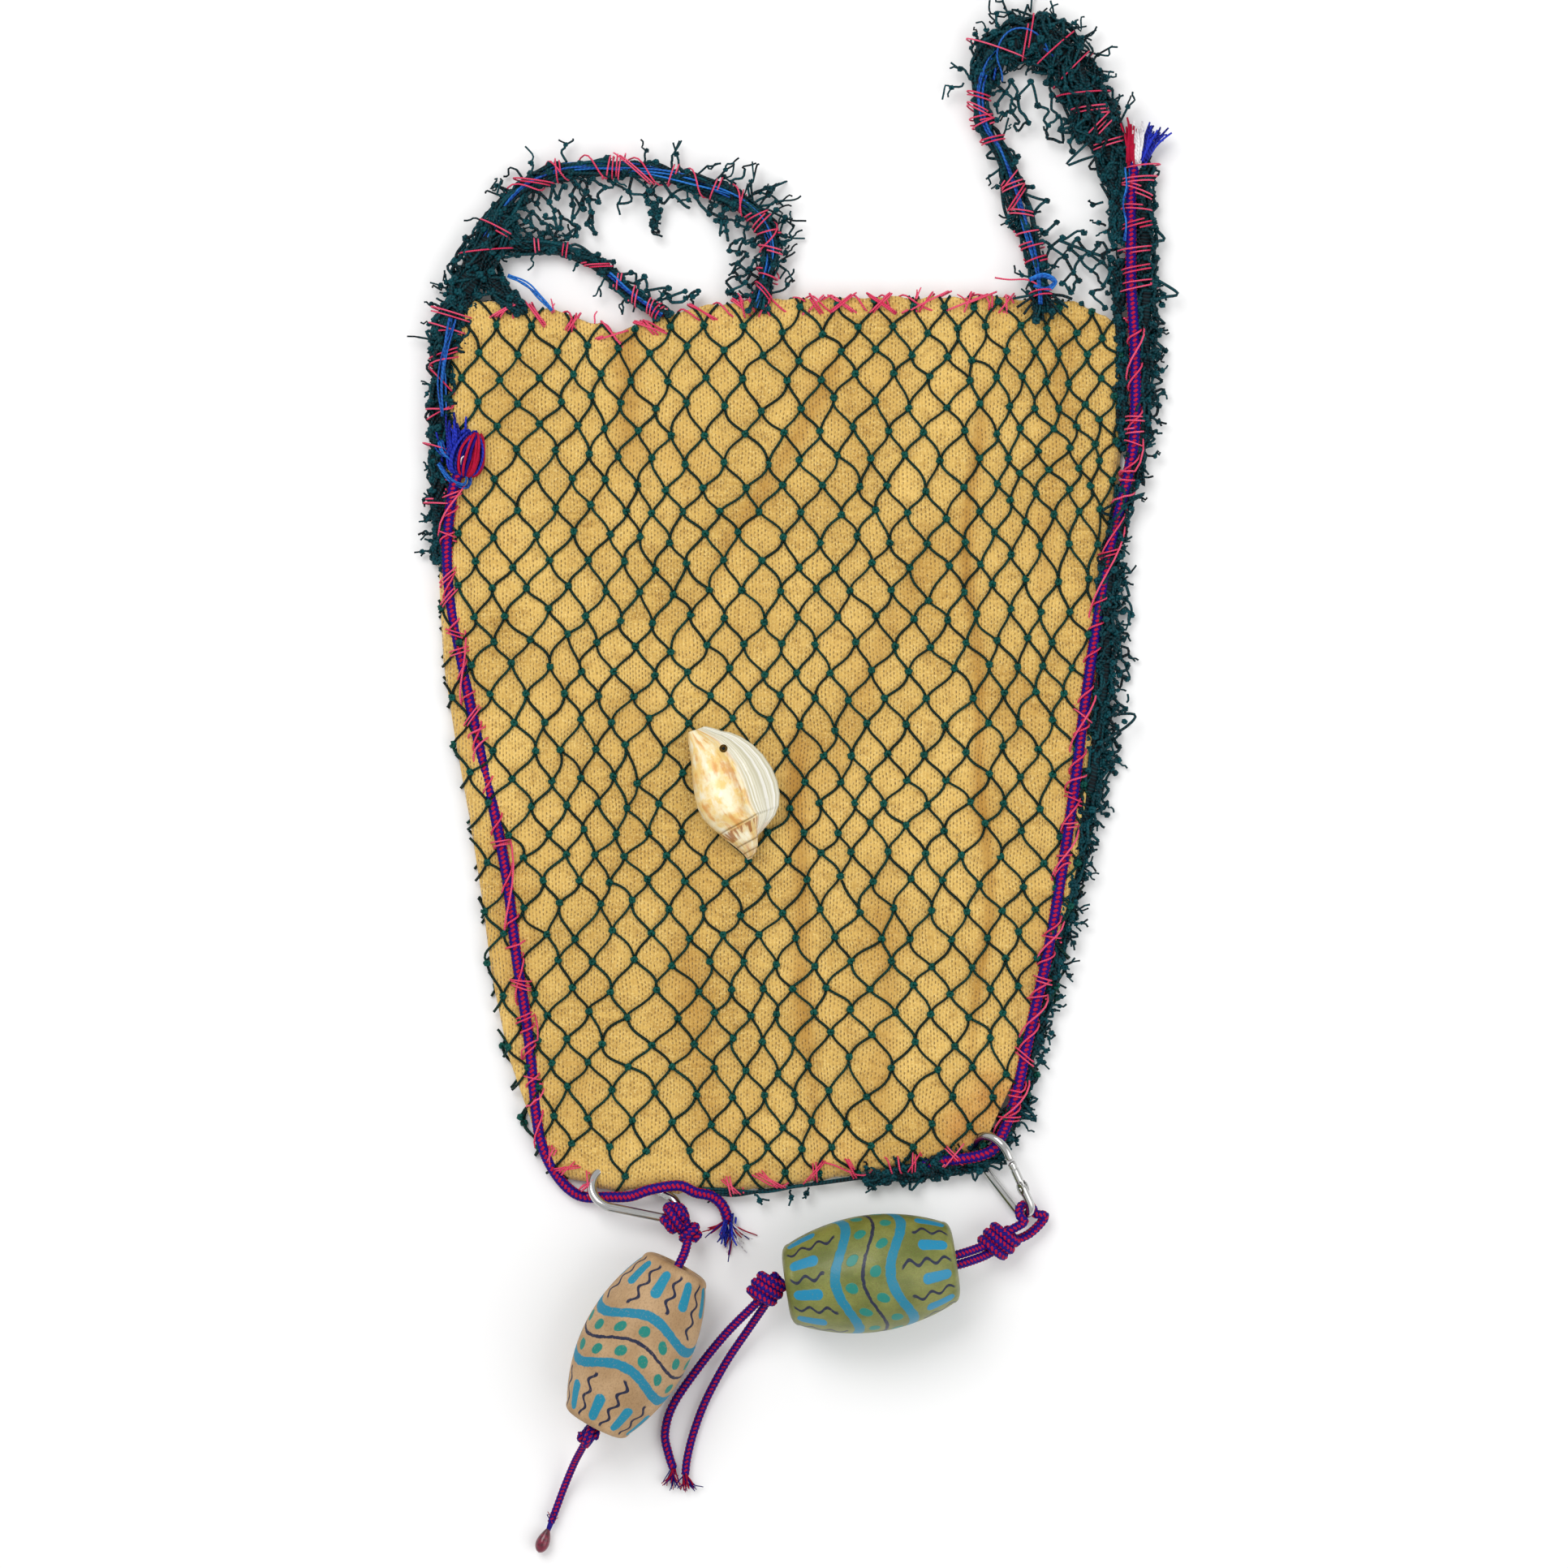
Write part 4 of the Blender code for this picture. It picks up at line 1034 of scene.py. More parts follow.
def make_right_handle():
    rng = np.random.default_rng(63)
    arch, top = smooth(RIGHT_ARCH, 2.0), smooth(RIGHT_TOP, 2)
    net = Strands()
    gathered(net, arch, rng, [5.5, 4.8, 4.6, 4.6, 4.6, 4.8, 5.2], across=5, pitch=11, slack=1.2, core=0)
    strands_along(net, arch, rng, 11, 4.4, 0.85, sway=24)
    gathered(net, top, rng, [5, 9, 12, 13.5, 13.5, 12.5, 10.5, 8, 6, 4.5, 3.5], across=11, pitch=8,
             squash=0.5)
    gathered(net, top[4:60], rng, [5, 9, 12, 13, 13, 12, 10], across=7, pitch=9, squash=0.6, core=0,
             slack=3.0)
    gathered(net, smooth(RIGHT_ROLL[:4], 2), rng, [4, 6, 6.5, 6.5], across=8, pitch=6)
    loose_net(net, raised([(104, 326), (112, 331), (124, 328), (136, 320), (146, 306)], 7.5),
              raised([(108, 314), (116, 306), (126, 300), (137, 302), (145, 296)],
                     7), rng, 9.0, keep=0.8, slack=2.2)
    loose_net(net, raised([(108, 300), (118, 288), (126, 276), (136, 262), (158, 244)]),
              raised([(110, 294), (118, 280), (124, 268), (130, 256), (142, 246)]), rng, 11.0, keep=0.7)
    loose_net(net, raised([(129, 250), (140, 254), (150, 250), (166, 250)]),
              raised([(128, 219), (140, 219), (152, 219), (168, 218)], 8.5), rng, 8.5)
    whiskers(net, top[:56], rng, 28, 11, outward=-1, radius=11)
    whiskers(net, top[4:], rng, 16, 10, outward=1, radius=9)
    whiskers(net, top[10:34], rng, 6, 18, outward=-1, radius=12)
    whiskers(net, arch, rng, 16, 9)
    for heading in np.linspace(-2.9, -0.25, 9):
        tip = np.array([128.5 + 15 * math.cos(heading), 225 + 14 * math.sin(heading), 11.5])
        slack_bar(net, np.array([128.5, 226, 11.5]), tip, rng, 0.9)
    fold(net.build("right_handle_net", BUNDLE), "right_handle", "right_handle_rope")
    blue = Strands()
    strands_along(blue, arch[2:], rng, 5, 2.6, 0.55, above=3.2, sway=28)
    strands_along(blue, top[2:30], rng, 3, 8, 0.5, above=4.0, sway=20)
    strands_along(blue, smooth([(170, 286, 12), (169, 270, 12.5), (169, 250, 12)], 2), rng, 2, 2, 0.5)
    strands_along(blue, smooth([(122, 231, 12.5), (129, 233, 14), (135, 230, 13.5), (131, 226, 13),
                                (124, 228, 12.5)], 1.2), rng, 5, 1.6, 0.6)
    fold(blue.build("right_handle_blue", BLUE), "right_handle", "right_handle_blue_strand")
    pink = Strands()
    wraps(pink, arch, [(98, 322), (98, 314), (99, 311), (100, 308), (104, 300), (113, 281), (114, 278),
                       (116, 272),
                       (118, 264), (121, 255), (123, 248), (125, 241), (128, 224)], rng, 5.4, 1.0)
    wraps(pink, top, [(106, 345), (121, 350), (134, 345), (143, 334), (149, 323)], rng, 12, 0.55,
          flat=0.62)
    wraps(pink, top, [(153, 314), (157, 306), (161, 298)], rng, 8.5, 1.8, flat=0.7)
    cord = smooth(RIGHT_CORD, 1.5)
    wraps(pink, cord + (3, 0, -1.5), [(172, y) for y in (288, 281, 275, 266, 258, 246, 236, 230, 227)],
          rng, 7.6,
          1.1, flat=0.8, slant=0.3)
    pink.tube(smooth([(105, 232, 12), (112, 231, 12.5), (121, 231, 12.5), (127, 228, 12)], 2), 0.45, 5,
              0.5)
    fold(pink.build("right_handle_thread", THREAD), "right_handle", "right_handle_lashing")


def make_rolls():
    rng = np.random.default_rng(74)
    left, path = Strands(), smooth(LEFT_ROLL, 2.0)
    gathered(left, path, rng, [6.5, 7, 6.8, 6.2, 5.2, 4.2, 3], across=7, pitch=7.5, slack=1.8)
    whiskers(left, path, rng, 50, 5.5, radius=6)
    fold(left.build("left_roll_net", BUNDLE), "left_handle", "left_net_roll")
    right, path = Strands(), smooth(RIGHT_ROLL[3:], 2.0)
    gathered(right, path, rng, [6.5, 5.5, 4.6, 5.2, 6.0, 5.4, 4.8, 3.6, 3.2, 3.0, 3.0], across=6,
             pitch=7.5,
             slack=1.8)
    gathered(right, smooth([(166, 240, 6), (166, 215, 6.5), (168, 180, 7), (168, 150, 6.5)], 2), rng,
             [4, 3, 2],
             across=4, pitch=6)
    loose_net(right, raised([(165, 96), (164, 60), (161, 30), (157, -10), (150, -48)], 5),
              raised([(172, 88), (172, 60), (170, 32), (166, -8), (155, -44)],
                     3), rng, 7.0, keep=0.85, slack=1.5)
    loose_net(right, raised([(181, 232), (182, 205), (181, 170), (178, 148)], 5),
              raised([(187, 228), (188, 205), (187, 172), (183, 150)], 4), rng, 7.5, keep=0.75, slack=1.5)
    whiskers(right, path, rng, 84, 6.5, outward=-1, radius=5)
    fold(right.build("right_roll_net", BUNDLE), "right_handle", "right_net_roll")
    bottom = Strands()
    path = smooth([(112, -190, 6), (104, -199, 6), (92, -203, 6), (78, -205, 6), (60, -208.5, 6),
                   (42, -211, 6)], 2)
    gathered(bottom, path, rng, [3, 5, 5.5, 5, 3.5, 2.2], across=7, pitch=5)
    whiskers(bottom, path, rng, 30, 7, outward=1)
    rest = smooth([(-40, -216, 6), (-20, -216.5, 6.5), (0, -215.5, 6.5), (30, -211, 6.5), (55, -207, 6)],
                  2)
    strands_along(bottom, rest, rng, 3, 1.8, 0.75, sway=14)
    whiskers(bottom, rest, rng, 6, 7, outward=1, radius=2)
    seat(bottom.build("bottom_roll_net", BUNDLE), "bag", "bottom_net_roll")
    blue = Strands()
    strands_along(blue, smooth([(-161, 212, 12), (-165, 196, 12.5), (-167, 180, 12.5), (-166, 164, 12)],
                               2), rng,
                  5, 3, 0.55, sway=14)
    strands_along(blue, smooth([(-168, 152, 10), (-166, 146, 12), (-160, 141, 13), (-154, 136, 12.5),
                                (-155, 130, 11), (-162, 133, 11), (-168, 141,
                                                                   10)], 1.5), rng, 5, 2.2, 0.5)
    seat(blue.build("left_roll_blue", BLUE), "bag")
    pink, path = Strands(), smooth(LEFT_ROLL, 2.0)
    wraps(pink, path, [(-163, 206), (-165, 195), (-166, 182), (-167, 166), (-168, 148), (-168, 122)], rng,
          6.6, 0.8,
          flat=0.8)
    pink.tube(coil(path[:30], 7.0, 26.0, rng), 0.45, 5, 0.5)
    seat(pink.build("left_roll_thread", THREAD), "bag")


def make_stitching():
    rng = np.random.default_rng(85)
    x = np.linspace(-142, 124, 200)
    rim = np.column_stack([x, edge(MOUTH_EDGE, x) - 2.6, front_z(x, edge(MOUTH_EDGE, x) - 6) - 1.2])
    mouth = Strands()
    mouth.tube(coil(rim, 4.0, 17.0, rng, flat=0.8), 0.5, 5, 0.5)
    spots = rim[np.clip(np.arange(4, 196, 14) + rng.integers(-4, 5, 14), 0, 199)]
    wraps(mouth, rim, np.repeat(spots, 2, axis=0), rng, 4.8, 0.9, 1.5, flat=0.8, thread=0.52, slant=1.0)
    for _ in range(12):
        i = rng.integers(8, 190)
        fray(mouth, rim[i] + (0, 1.5, 2.5), (rng.normal(0, 0.8), 1, 0.2), rng, 1, 6, 0.3, (0.4, 0.9),
             0.45)
    seat(mouth.build("mouth_stitches", THREAD), "bag", "mouth_stitching")
    low = Strands()
    hem = smooth([(-114, -199, 6), (-104, -206, 7), (-92, -214, 7.5), (-75, -216, 8), (-50, -216, 8),
                  (-25, -214, 7.5), (-5, -211, 7.5), (17, -207,
                                                      7.5), (35, -205, 7), (65, -203, 7), (90, -198, 8)],
                                                      2)
    spots = [(-113, -200), (-105, -205), (-95, -213), (-25, -214), (-5, -211),
             (17, -207), (35, -205), (65, -203), (85, -199)]
    wraps(low, hem, np.repeat(spots, 2, axis=0), rng, 4.6, 1.0, pitch=1.5, flat=0.75, slant=0.8)
    low.tube(coil(hem[50:-4], 4.2, 23.0, rng, flat=0.7, jitter=0.45), 0.45, 5, 0.5)
    seat(low.build("bottom_stitches", THREAD), "bag", "bottom_stitching")


# ------------------------------------------------------------ snap hooks
HOOK_BIG_R, HOOK_SMALL_R, HOOK_SPAN = 11.0, 6.0, 27.0
WIRE_R, GATE_R, RIVET_U, NOSE_U = 2.25, 2.1, 20.5, 6.0


def hook_axes(side):
    """Hook centre and its three directions, taken from the joints of that hook."""
    centre = joint_spot(side + "_hook_swing")
    u = unit(joint_spot(side + "_lanyard_swing") - centre)
    w = joint_axis(side + "_gate_open")
    return centre, u, unit(np.cross(w, u)), w


def hook_point(axes, u, v, w):
    centre, along, across, out = axes
    return centre + np.outer(u, along) + np.outer(v, across) + np.outer(w, out)


def fixed_axes(axes, count):
    """The hook's three directions, repeated for each point of a straight tube."""
    return tuple(np.tile(direction, (count, 1)) for direction in axes[1:])


def leg_offset(u):
    """Sideways place of the hook's straight legs, which close in on the small end."""
    return HOOK_BIG_R - (HOOK_BIG_R - HOOK_SMALL_R) / HOOK_SPAN * u


def make_hook(side):
    axes = hook_axes(side)
    big = np.radians(np.linspace(84, 276, 40))
    small = np.radians(np.linspace(-84, 84, 28))
    u = np.concatenate([[NOSE_U], HOOK_BIG_R * np.cos(big), HOOK_SPAN + HOOK_SMALL_R * np.cos(small),
                        [RIVET_U - 2]])
    v = np.concatenate([[leg_offset(NOSE_U)], HOOK_BIG_R * np.sin(big), HOOK_SMALL_R * np.sin(small),
                        [leg_offset(RIVET_U - 2)]])
    path = resample(hook_point(axes, u, v, 0 * u), 0.8)
    out = np.tile(axes[3], (len(path), 1))
    along = unit(np.gradient(path, axis=0))
    s = lengths(path)
    ends = np.minimum(s, s[-1] - s)
    taper = np.sqrt(np.clip(1 - (1 - np.clip(ends / 1.4, 0, 1)) ** 2, 0.04, 1))
    frame_wire = Strands()
    frame_wire.tube(path, WIRE_R * taper, 20, 0.5, axes=(along, unit(np.cross(out, along)), out),
                    thick=WIRE_R * 0.92 * taper)
    for sign in (-1, 1):
        t = np.linspace(RIVET_U - 3.2, RIVET_U + 3.4, 12)
        cheek = hook_point(axes, t, leg_offset(t), np.full(12, sign * 1.75))
        wide = 2.5 * np.sqrt(np.clip(1 - ((t - RIVET_U) / 3.5) ** 2, 0.05, 1))
        frame_wire.tube(cheek, wide, 20, 0.5, axes=fixed_axes(axes, 12), thick=0.42)
    seat(frame_wire.build(side + "_hook_wire", STEEL), side + "_hook", side + "_hook_frame")
    gate = Strands()
    t = np.linspace(NOSE_U + 0.5, RIVET_U + 2.0, 24)
    reach = np.minimum(t - t[0], t[-1] - t)
    wide = GATE_R * np.sqrt(np.clip(1 - (1 - np.clip(reach / 1.0, 0, 1)) ** 2, 0.15, 1))
    seam = 1 - 0.16 * np.exp(-((t - NOSE_U - 4.0) / 0.35) ** 2)
    flat = np.where(t > RIVET_U - 3.4, 0.5, 1.0)
    gate.tube(hook_point(axes, t, leg_offset(t), 0 * t), wide * seam, 20, 0.5,
              axes=fixed_axes(axes, 24), thick=wide * seam * flat)
    seat(gate.build(side + "_hook_gate_bar", STEEL), side + "_gate", side + "_hook_gate",
         side + "_gate_spring")
    rivet = Strands()
    w = np.array([-2.75, -2.6, -2.2, 2.2, 2.6, 2.75])
    rivet.tube(hook_point(axes, 0 * w + RIVET_U, 0 * w + leg_offset(RIVET_U), w),
               [0.7, 1.1, 1.15, 1.15, 1.1, 0.7], 20, 0.5)
    seat(rivet.build(side + "_hook_rivet_pin", STEEL), side + "_hook", side + "_hook_rivet")


# ------------------------------------------------------------ lanyards, knots and tails
LANYARD_R = 2.2


def wrap_knot(work, centre, heading, turns, reach, pitch, radius):
    """Overhand knot body: cord wound round an axis, with its ends tucked inside."""
    a = math.radians(heading)
    along = np.array([math.cos(a), math.sin(a), 0.0])
    across = unit(np.cross((0, 0, 1), along))
    above = np.cross(along, across)
    count = int(turns * 22)
    t = np.linspace(0, 1, count)
    angle = TAU * turns * (t - 0.5) + math.pi / 2
    tuck = np.clip(np.minimum(t, 1 - t) * turns * 3.2, 0.18, 1)
    swell = reach * tuck * (0.86 + 0.14 * np.sin(math.pi * t))
    run = pitch * turns * (t - 0.5)
    path = (np.asarray(centre, float) + run[:, None] * along
            + (swell * np.cos(angle))[:, None] * across + (swell * 0.9 * np.sin(angle))[:, None] * above)
    braid(work, path, radius, 8.0)
    core = np.asarray(centre, float) + np.linspace(-0.42, 0.42, 8)[:, None] * pitch * turns * along
    work.tube(core, reach * 0.62, 10, 0.1)


def eye_turn(axes):
    """Half turn of cord round the wire of the hook's small end."""
    turn = np.radians([40, 60, 100, 140, 180, 220, 260, 300, 320])
    reach = WIRE_R + LANYARD_R + 0.5
    return hook_point(axes, HOOK_SPAN + HOOK_SMALL_R + reach * np.cos(turn), 0 * turn,
                      reach * np.sin(turn))


def make_left_lanyard():
    rng = np.random.default_rng(96)
    axes = hook_axes("left")
    work = Strands()
    turn = eye_turn(axes)
    loop = smooth([(-46, -233, 14), *turn[1:-1], (-46, -233, 7)], 1.2)
    braid(work, loop, LANYARD_R, 8.0)
    wrap_knot(work, (-52.0, -229.3, 13.5), 25, 2.6, 5.0, 4.2, LANYARD_R)
    wrap_knot(work, (-44.8, -236.3, 13.5), 118, 2.0, 4.0, 4.0, LANYARD_R)
    run = smooth([(-44.8, -236, 14), (-46.5, -244, 18), (-48.8, -249.5, 22), (-52.5, -256, 25.4),
                  (-58, -266, 27),
                  (-75, -298.6, 27), (-91.1, -329.1, 27)], 1.5)
    braid(work, run, LANYARD_R, 8.0)
    seat(work.build("left_lanyard_braid", BRAID), "left_lanyard_body", "left_lanyard")
    end = Strands()
    stop = np.array([-93.8, -334.2, 27])
    wrap_knot(end, stop, -28, 1.9, 4.6, 3.6, LANYARD_R * 0.9)
    path = smooth([stop + (-0.6, -1.5, -1), (-97, -341, 21), (-101, -349, 12), (-106, -361, 5.5),
                   (-110.5, -373, 4), (-114.6, -384, 4)], 1.2)
    braid(end, path[:-4], 1.85, 8.5)
    shrink = np.linspace(1.7, 1.1, len(path[-8:]))
    end.tube(path[-8:], shrink, 8, 0.1)
    fray(end, path[-5], (0.4, 1, 0.5), rng, 6, 5, 0.5, (PURPLE, RED), 0.25)
    seat(end.build("left_tail_braid", BRAID), "left_tail_body", "left_tail")
    drop = Strands()
    line = np.linspace(0, 1, 22)
    head, foot = np.array([-114.0, -382.0, 4.2]), np.array([-119.1, -394.6, 4.2])
    swell = 3.7 * np.sin(math.pi * line ** 1.25) ** 0.6 * (0.62 + 0.38 * line) + 0.25
    drop.tube(head + line[:, None] * (foot - head), swell, 24, 0.5)
    seat(drop.build("left_melted_drop", MELT), "left_tail_body", "left_tail_drop")


def make_right_lanyard():
    rng = np.random.default_rng(97)
    axes = hook_axes("right")
    work = Strands()
    turn = eye_turn(axes)
    loop = smooth([(107, -240, 13), (112, -235.5, 14.5), *turn[1:-1], (130, -229, 6.5),
                   (122, -237.5, 7.5),
                   (110, -242, 10)], 1.2)
    braid(work, loop, LANYARD_R, 8.0)
    wrap_knot(work, (107, -240.5, 13), 44, 3.3, 6.8, 4.4, LANYARD_R * 1.08)
    line = np.array([(104, -243, 13), (98, -245.5, 18), (88, -248.2, 25), (79, -250, 28),
                     (68, -251.5, 28.5),
                     (4, -260.8, 28.5)])
    step = np.array([0.143, -0.99, 0]) * (LANYARD_R + 0.2)
    for sign in (-1, 1):
        braid(work, smooth(line + sign * step, 1.5), LANYARD_R, 8.0)
    seat(work.build("right_lanyard_braid", BRAID), "right_lanyard_body", "right_lanyard")
    stop = np.array([-7, -262.6, 28.5])
    first, second = Strands(), Strands()
    wrap_knot(first, stop + (0.3, 0.3, 0), 52, 3.3, 6.2, 4.3, LANYARD_R * 1.08)
    path_a = smooth([stop + (-1, -3, 0), (-14, -272, 23), (-27, -286, 14), (-41, -304, 6),
                     (-53, -322, 3.4),
                     (-57, -336, 3), (-55, -347, 3), (-53, -353, 3)], 1.2)
    path_b = smooth([stop + (2, -3, -2), (-8, -271.5, 22.5), (-16, -284, 13), (-27, -301, 6),
                     (-37, -320, 3.4),
                     (-43, -336, 3), (-46, -348, 3), (-47, -356, 3)], 1.2)
    braid(first, path_a, 2.1, 8.5)
    braid(second, path_b, 2.0, 8.5)
    fray(first, path_a[-1], (-0.1, -1, 0), rng, 26, 9, 0.35, (PURPLE, RED, PURPLE))
    fray(second, path_b[-1], (0.1, -1, 0), rng, 26, 8, 0.4, (PURPLE, RED, RED))
    seat(first.build("right_tail_braid_a", BRAID), "right_tail_body", "right_tail_strand_a")
    seat(second.build("right_tail_braid_b", BRAID), "right_tail_body", "right_tail_strand_b")


# ------------------------------------------------------------ painted floats
def float_section(length, radius, end_radius, bore, funnel):
    """Half section (axial, distance): bulging outside with rounded rims, then funnels and bore."""
    half, depth = length / 2, 14.0
    z = np.linspace(0, 0.90, 34)
    bulge = end_radius + (radius - end_radius) * np.cos(math.pi / 2 * z / 0.97) ** 0.75
    turn = np.linspace(0, 1, 12)[1:] * math.pi / 2
    rim_z = 0.90 + 0.10 * np.sin(turn)
    rim_r = funnel + (bulge[-1] - funnel) * np.cos(turn) ** 0.62
    neck = np.linspace(1, 0, 10)[1:]
    half_z = np.concatenate([z, rim_z]) * half
    half_r = np.concatenate([bulge, rim_r])
    top = np.column_stack([half_z, half_r])
    throat = np.column_stack([half - depth * (1 - neck), bore + (funnel - bore) * neck ** 1.4])
    mirror = np.array([-1, 1])
    return np.vstack([top[:0:-1] * mirror, top]), np.vstack([throat, throat[::-1] * mirror])


def make_float(side, colour_finish, length, radius, end_radius, bore, funnel):
    """Float turned about its spin axis, with axial millimetres and turns in its UV map."""
    centre = joint_spot(side + "_float_spin")
    axis = joint_axis(side + "_float_spin")
    across = unit(np.cross((0, 0, 1.0), axis))
    above = np.cross(axis, across)
    section, bore_line = float_section(length, radius, end_radius, bore, funnel)
    sides = 96
    angle = TAU * np.arange(sides) / sides
    spokes = np.cos(angle)[:, None] * across + np.sin(angle)[:, None] * above
    work = Strands()
    for line, shift in ((section, 0.0), (np.vstack([section[-1:], bore_line, section[:1]]), BORE_SHIFT)):
        rings = centre + line[:, 0, None, None] * axis + line[:, 1, None, None] * spokes
        work.grid(rings, line[:, 0] + shift, np.linspace(0, 1, sides + 1), 0.5, closed_ends=False)
    seat(work.build(side + "_painted_float", colour_finish), side + "_float_body", side + "_float")


BORE_SHIFT = 500.0               # added to the UV's millimetres inside a float's bore
WAVE_SWING, WAVE_AWAY = 4.2, 13.5
DOT_AWAY, DASH_COUNT = 6.2, 9


def float_finish(name, base_dark, base_light, roughness, coat, length, radius, dots_round, dash):
    """Fired-clay look with a regular painted pattern: wave bands, dots, dashes and thin waves."""
    f = Finish(name, roughness)
    along, turn = f.uv()
    half, girth = length / 2, TAU * radius
    inside = along > BORE_SHIFT / 2
    body = f.vector(along, turn * girth, inside * 90)
    grain = f.noise(body, 0.9, 4)
    brush = (f.noise(body, 0.28, 3) - 0.5) * 1.5
    level = along - f.wave(turn, 3) * WAVE_SWING + brush
    away = abs(level)
    base = f.layered(f.mix(f.band(f.noise(body, 0.05, 3), 0.32, 0.68), base_dark, base_light),
                     (f.band(f.noise(body, 2.6, 2), 0.62, 0.72) * 0.35, srgb(222, 196, 158)),
                     (f.band(grain, 0.52, 0.36) * 0.25, srgb(96, 74, 40)))
    bands = f.band(abs(away - WAVE_AWAY), 2.7, 2.2)
    thin = f.band(away, 1.0, 0.65)
    spots = 0.0
    for side, shift in ((-1, 0.0), (1, 0.5)):
        cell = f.cell(turn.times_plus(dots_round, shift))
        reach = f.hypot(cell * (girth / dots_round), level - DOT_AWAY * side)
        spots = f.math("MAXIMUM", spots, f.band(reach, 3.1, 2.6))
    ends = abs(along)
    outer = f.band(away, 18.5, 19.5) * f.band(ends, half - 2.0, half - 3.5)
    pitch = girth * 0.74 / DASH_COUNT
    past = f.math("MAXIMUM", abs(ends - (half - 10.5)) - 4.6, 0.0)
    dash_reach = f.hypot(abs(f.cell(turn * DASH_COUNT) * pitch), past)
    dashes = f.band(dash_reach + brush * 0.4, 2.7, 2.2)
    waver = f.cell(turn.times_plus(DASH_COUNT, 0.5)) * pitch + f.wave(along, 1 / 8.5) * 1.3
    wavers = f.band(abs(waver), 0.95, 0.6) * outer
    outside = 1.0 - f.band(grain, 0.56, 0.72) * 0.35 - inside
    navy = srgb(12, 22, 56)
    strokes = ((dashes, dash), (wavers, navy), (bands, srgb(0, 122, 152)), (spots, srgb(0, 124, 112)),
               (thin, navy))
    painted = [(f.clamped(mask * outside), pigment) for mask, pigment in strokes]
    shade = inside * f.band(abs(along - BORE_SHIFT), half, half - 9)
    colour = f.layered(base, *painted, (shade * 0.75, srgb(70, 40, 20)))
    raised_paint = f.math("MAXIMUM", f.math("MAXIMUM", bands, dashes), spots)
    f.bump(grain * 0.5 + raised_paint * 0.6, 0.16)
    return f.done(colour, coat=coat)


TAN_SIZE = {"length": 88, "radius": 27}
OLIVE_SIZE = {"length": 84, "radius": 28.5}


def make_floats():
    tan = float_finish("float_tan", srgb(164, 130, 90), srgb(190, 156, 116), 0.7, 0.0,
                       dots_round=14, dash=srgb(0, 130, 160), **TAN_SIZE)
    olive = float_finish("float_olive", srgb(94, 104, 34), srgb(130, 134, 62), 0.45, 0.08,
                         dots_round=13, dash=srgb(0, 130, 170), **OLIVE_SIZE)
    make_float("left", tan, end_radius=15, bore=4.2, funnel=9.5, **TAN_SIZE)
    make_float("right", olive, end_radius=18, bore=6.2, funnel=8.5, **OLIVE_SIZE)


# ------------------------------------------------------------ shell charm
SHELL_TOP, SHELL_TIP = np.array([-38.0, 10.0]), np.array([-15.5, -52.0])
SHELL_BODY = [(-1.3, -1.2, 0.6), (0.9, -1.8, 3.9), (3.5, -2.9, 5.8), (7, -4.9, 7.0), (11.5, -7.9, 7.6),
              (15, -9.9, 9.0), (17.6, -11.3, 9.8), (20, -12.7, 9.0), (25, -14.9, 8.4), (31, -15.6, 8.7),
              (37, -14.9, 8.9), (44, -13.5, 8.4), (51, -11.5, 6.9), (58, -9.6, 4.5), (63, -9.0, 1.0),
              (67.4, -7.6, -3.0)]
SHELL_LIP = [(-1.3, 0.6), (0.9, 3.9), (3.5, 5.8), (7, 7.0), (8.4, 7.6), (9.5, 10.2), (11.9, 14.5),
             (14.8, 19),
             (18.7, 22.4), (24, 24.7), (30, 25.7), (37, 25.4), (44.6, 23.5), (51.3, 20.3), (56.5, 16.4),
             (60.3, 12.2), (62.5, 8.4), (65, 5.3), (67.4, 1.6)]
SHELL_SUTURES = [(16.2, 3.6, 1.0), (7.2, 2.2, 0.75), (3.4, 1.4, 0.5),
                 (0.8, 0.8, 0.3)]   # start, climb, step
SUTURE_SHIFT = 1.6
WHORL_SWEEP = math.pi * 0.86      # from the table up and over to the lip
KNOB_AT, KNOB_TALL, KNOB_WIDE = 22, 1.3, 6


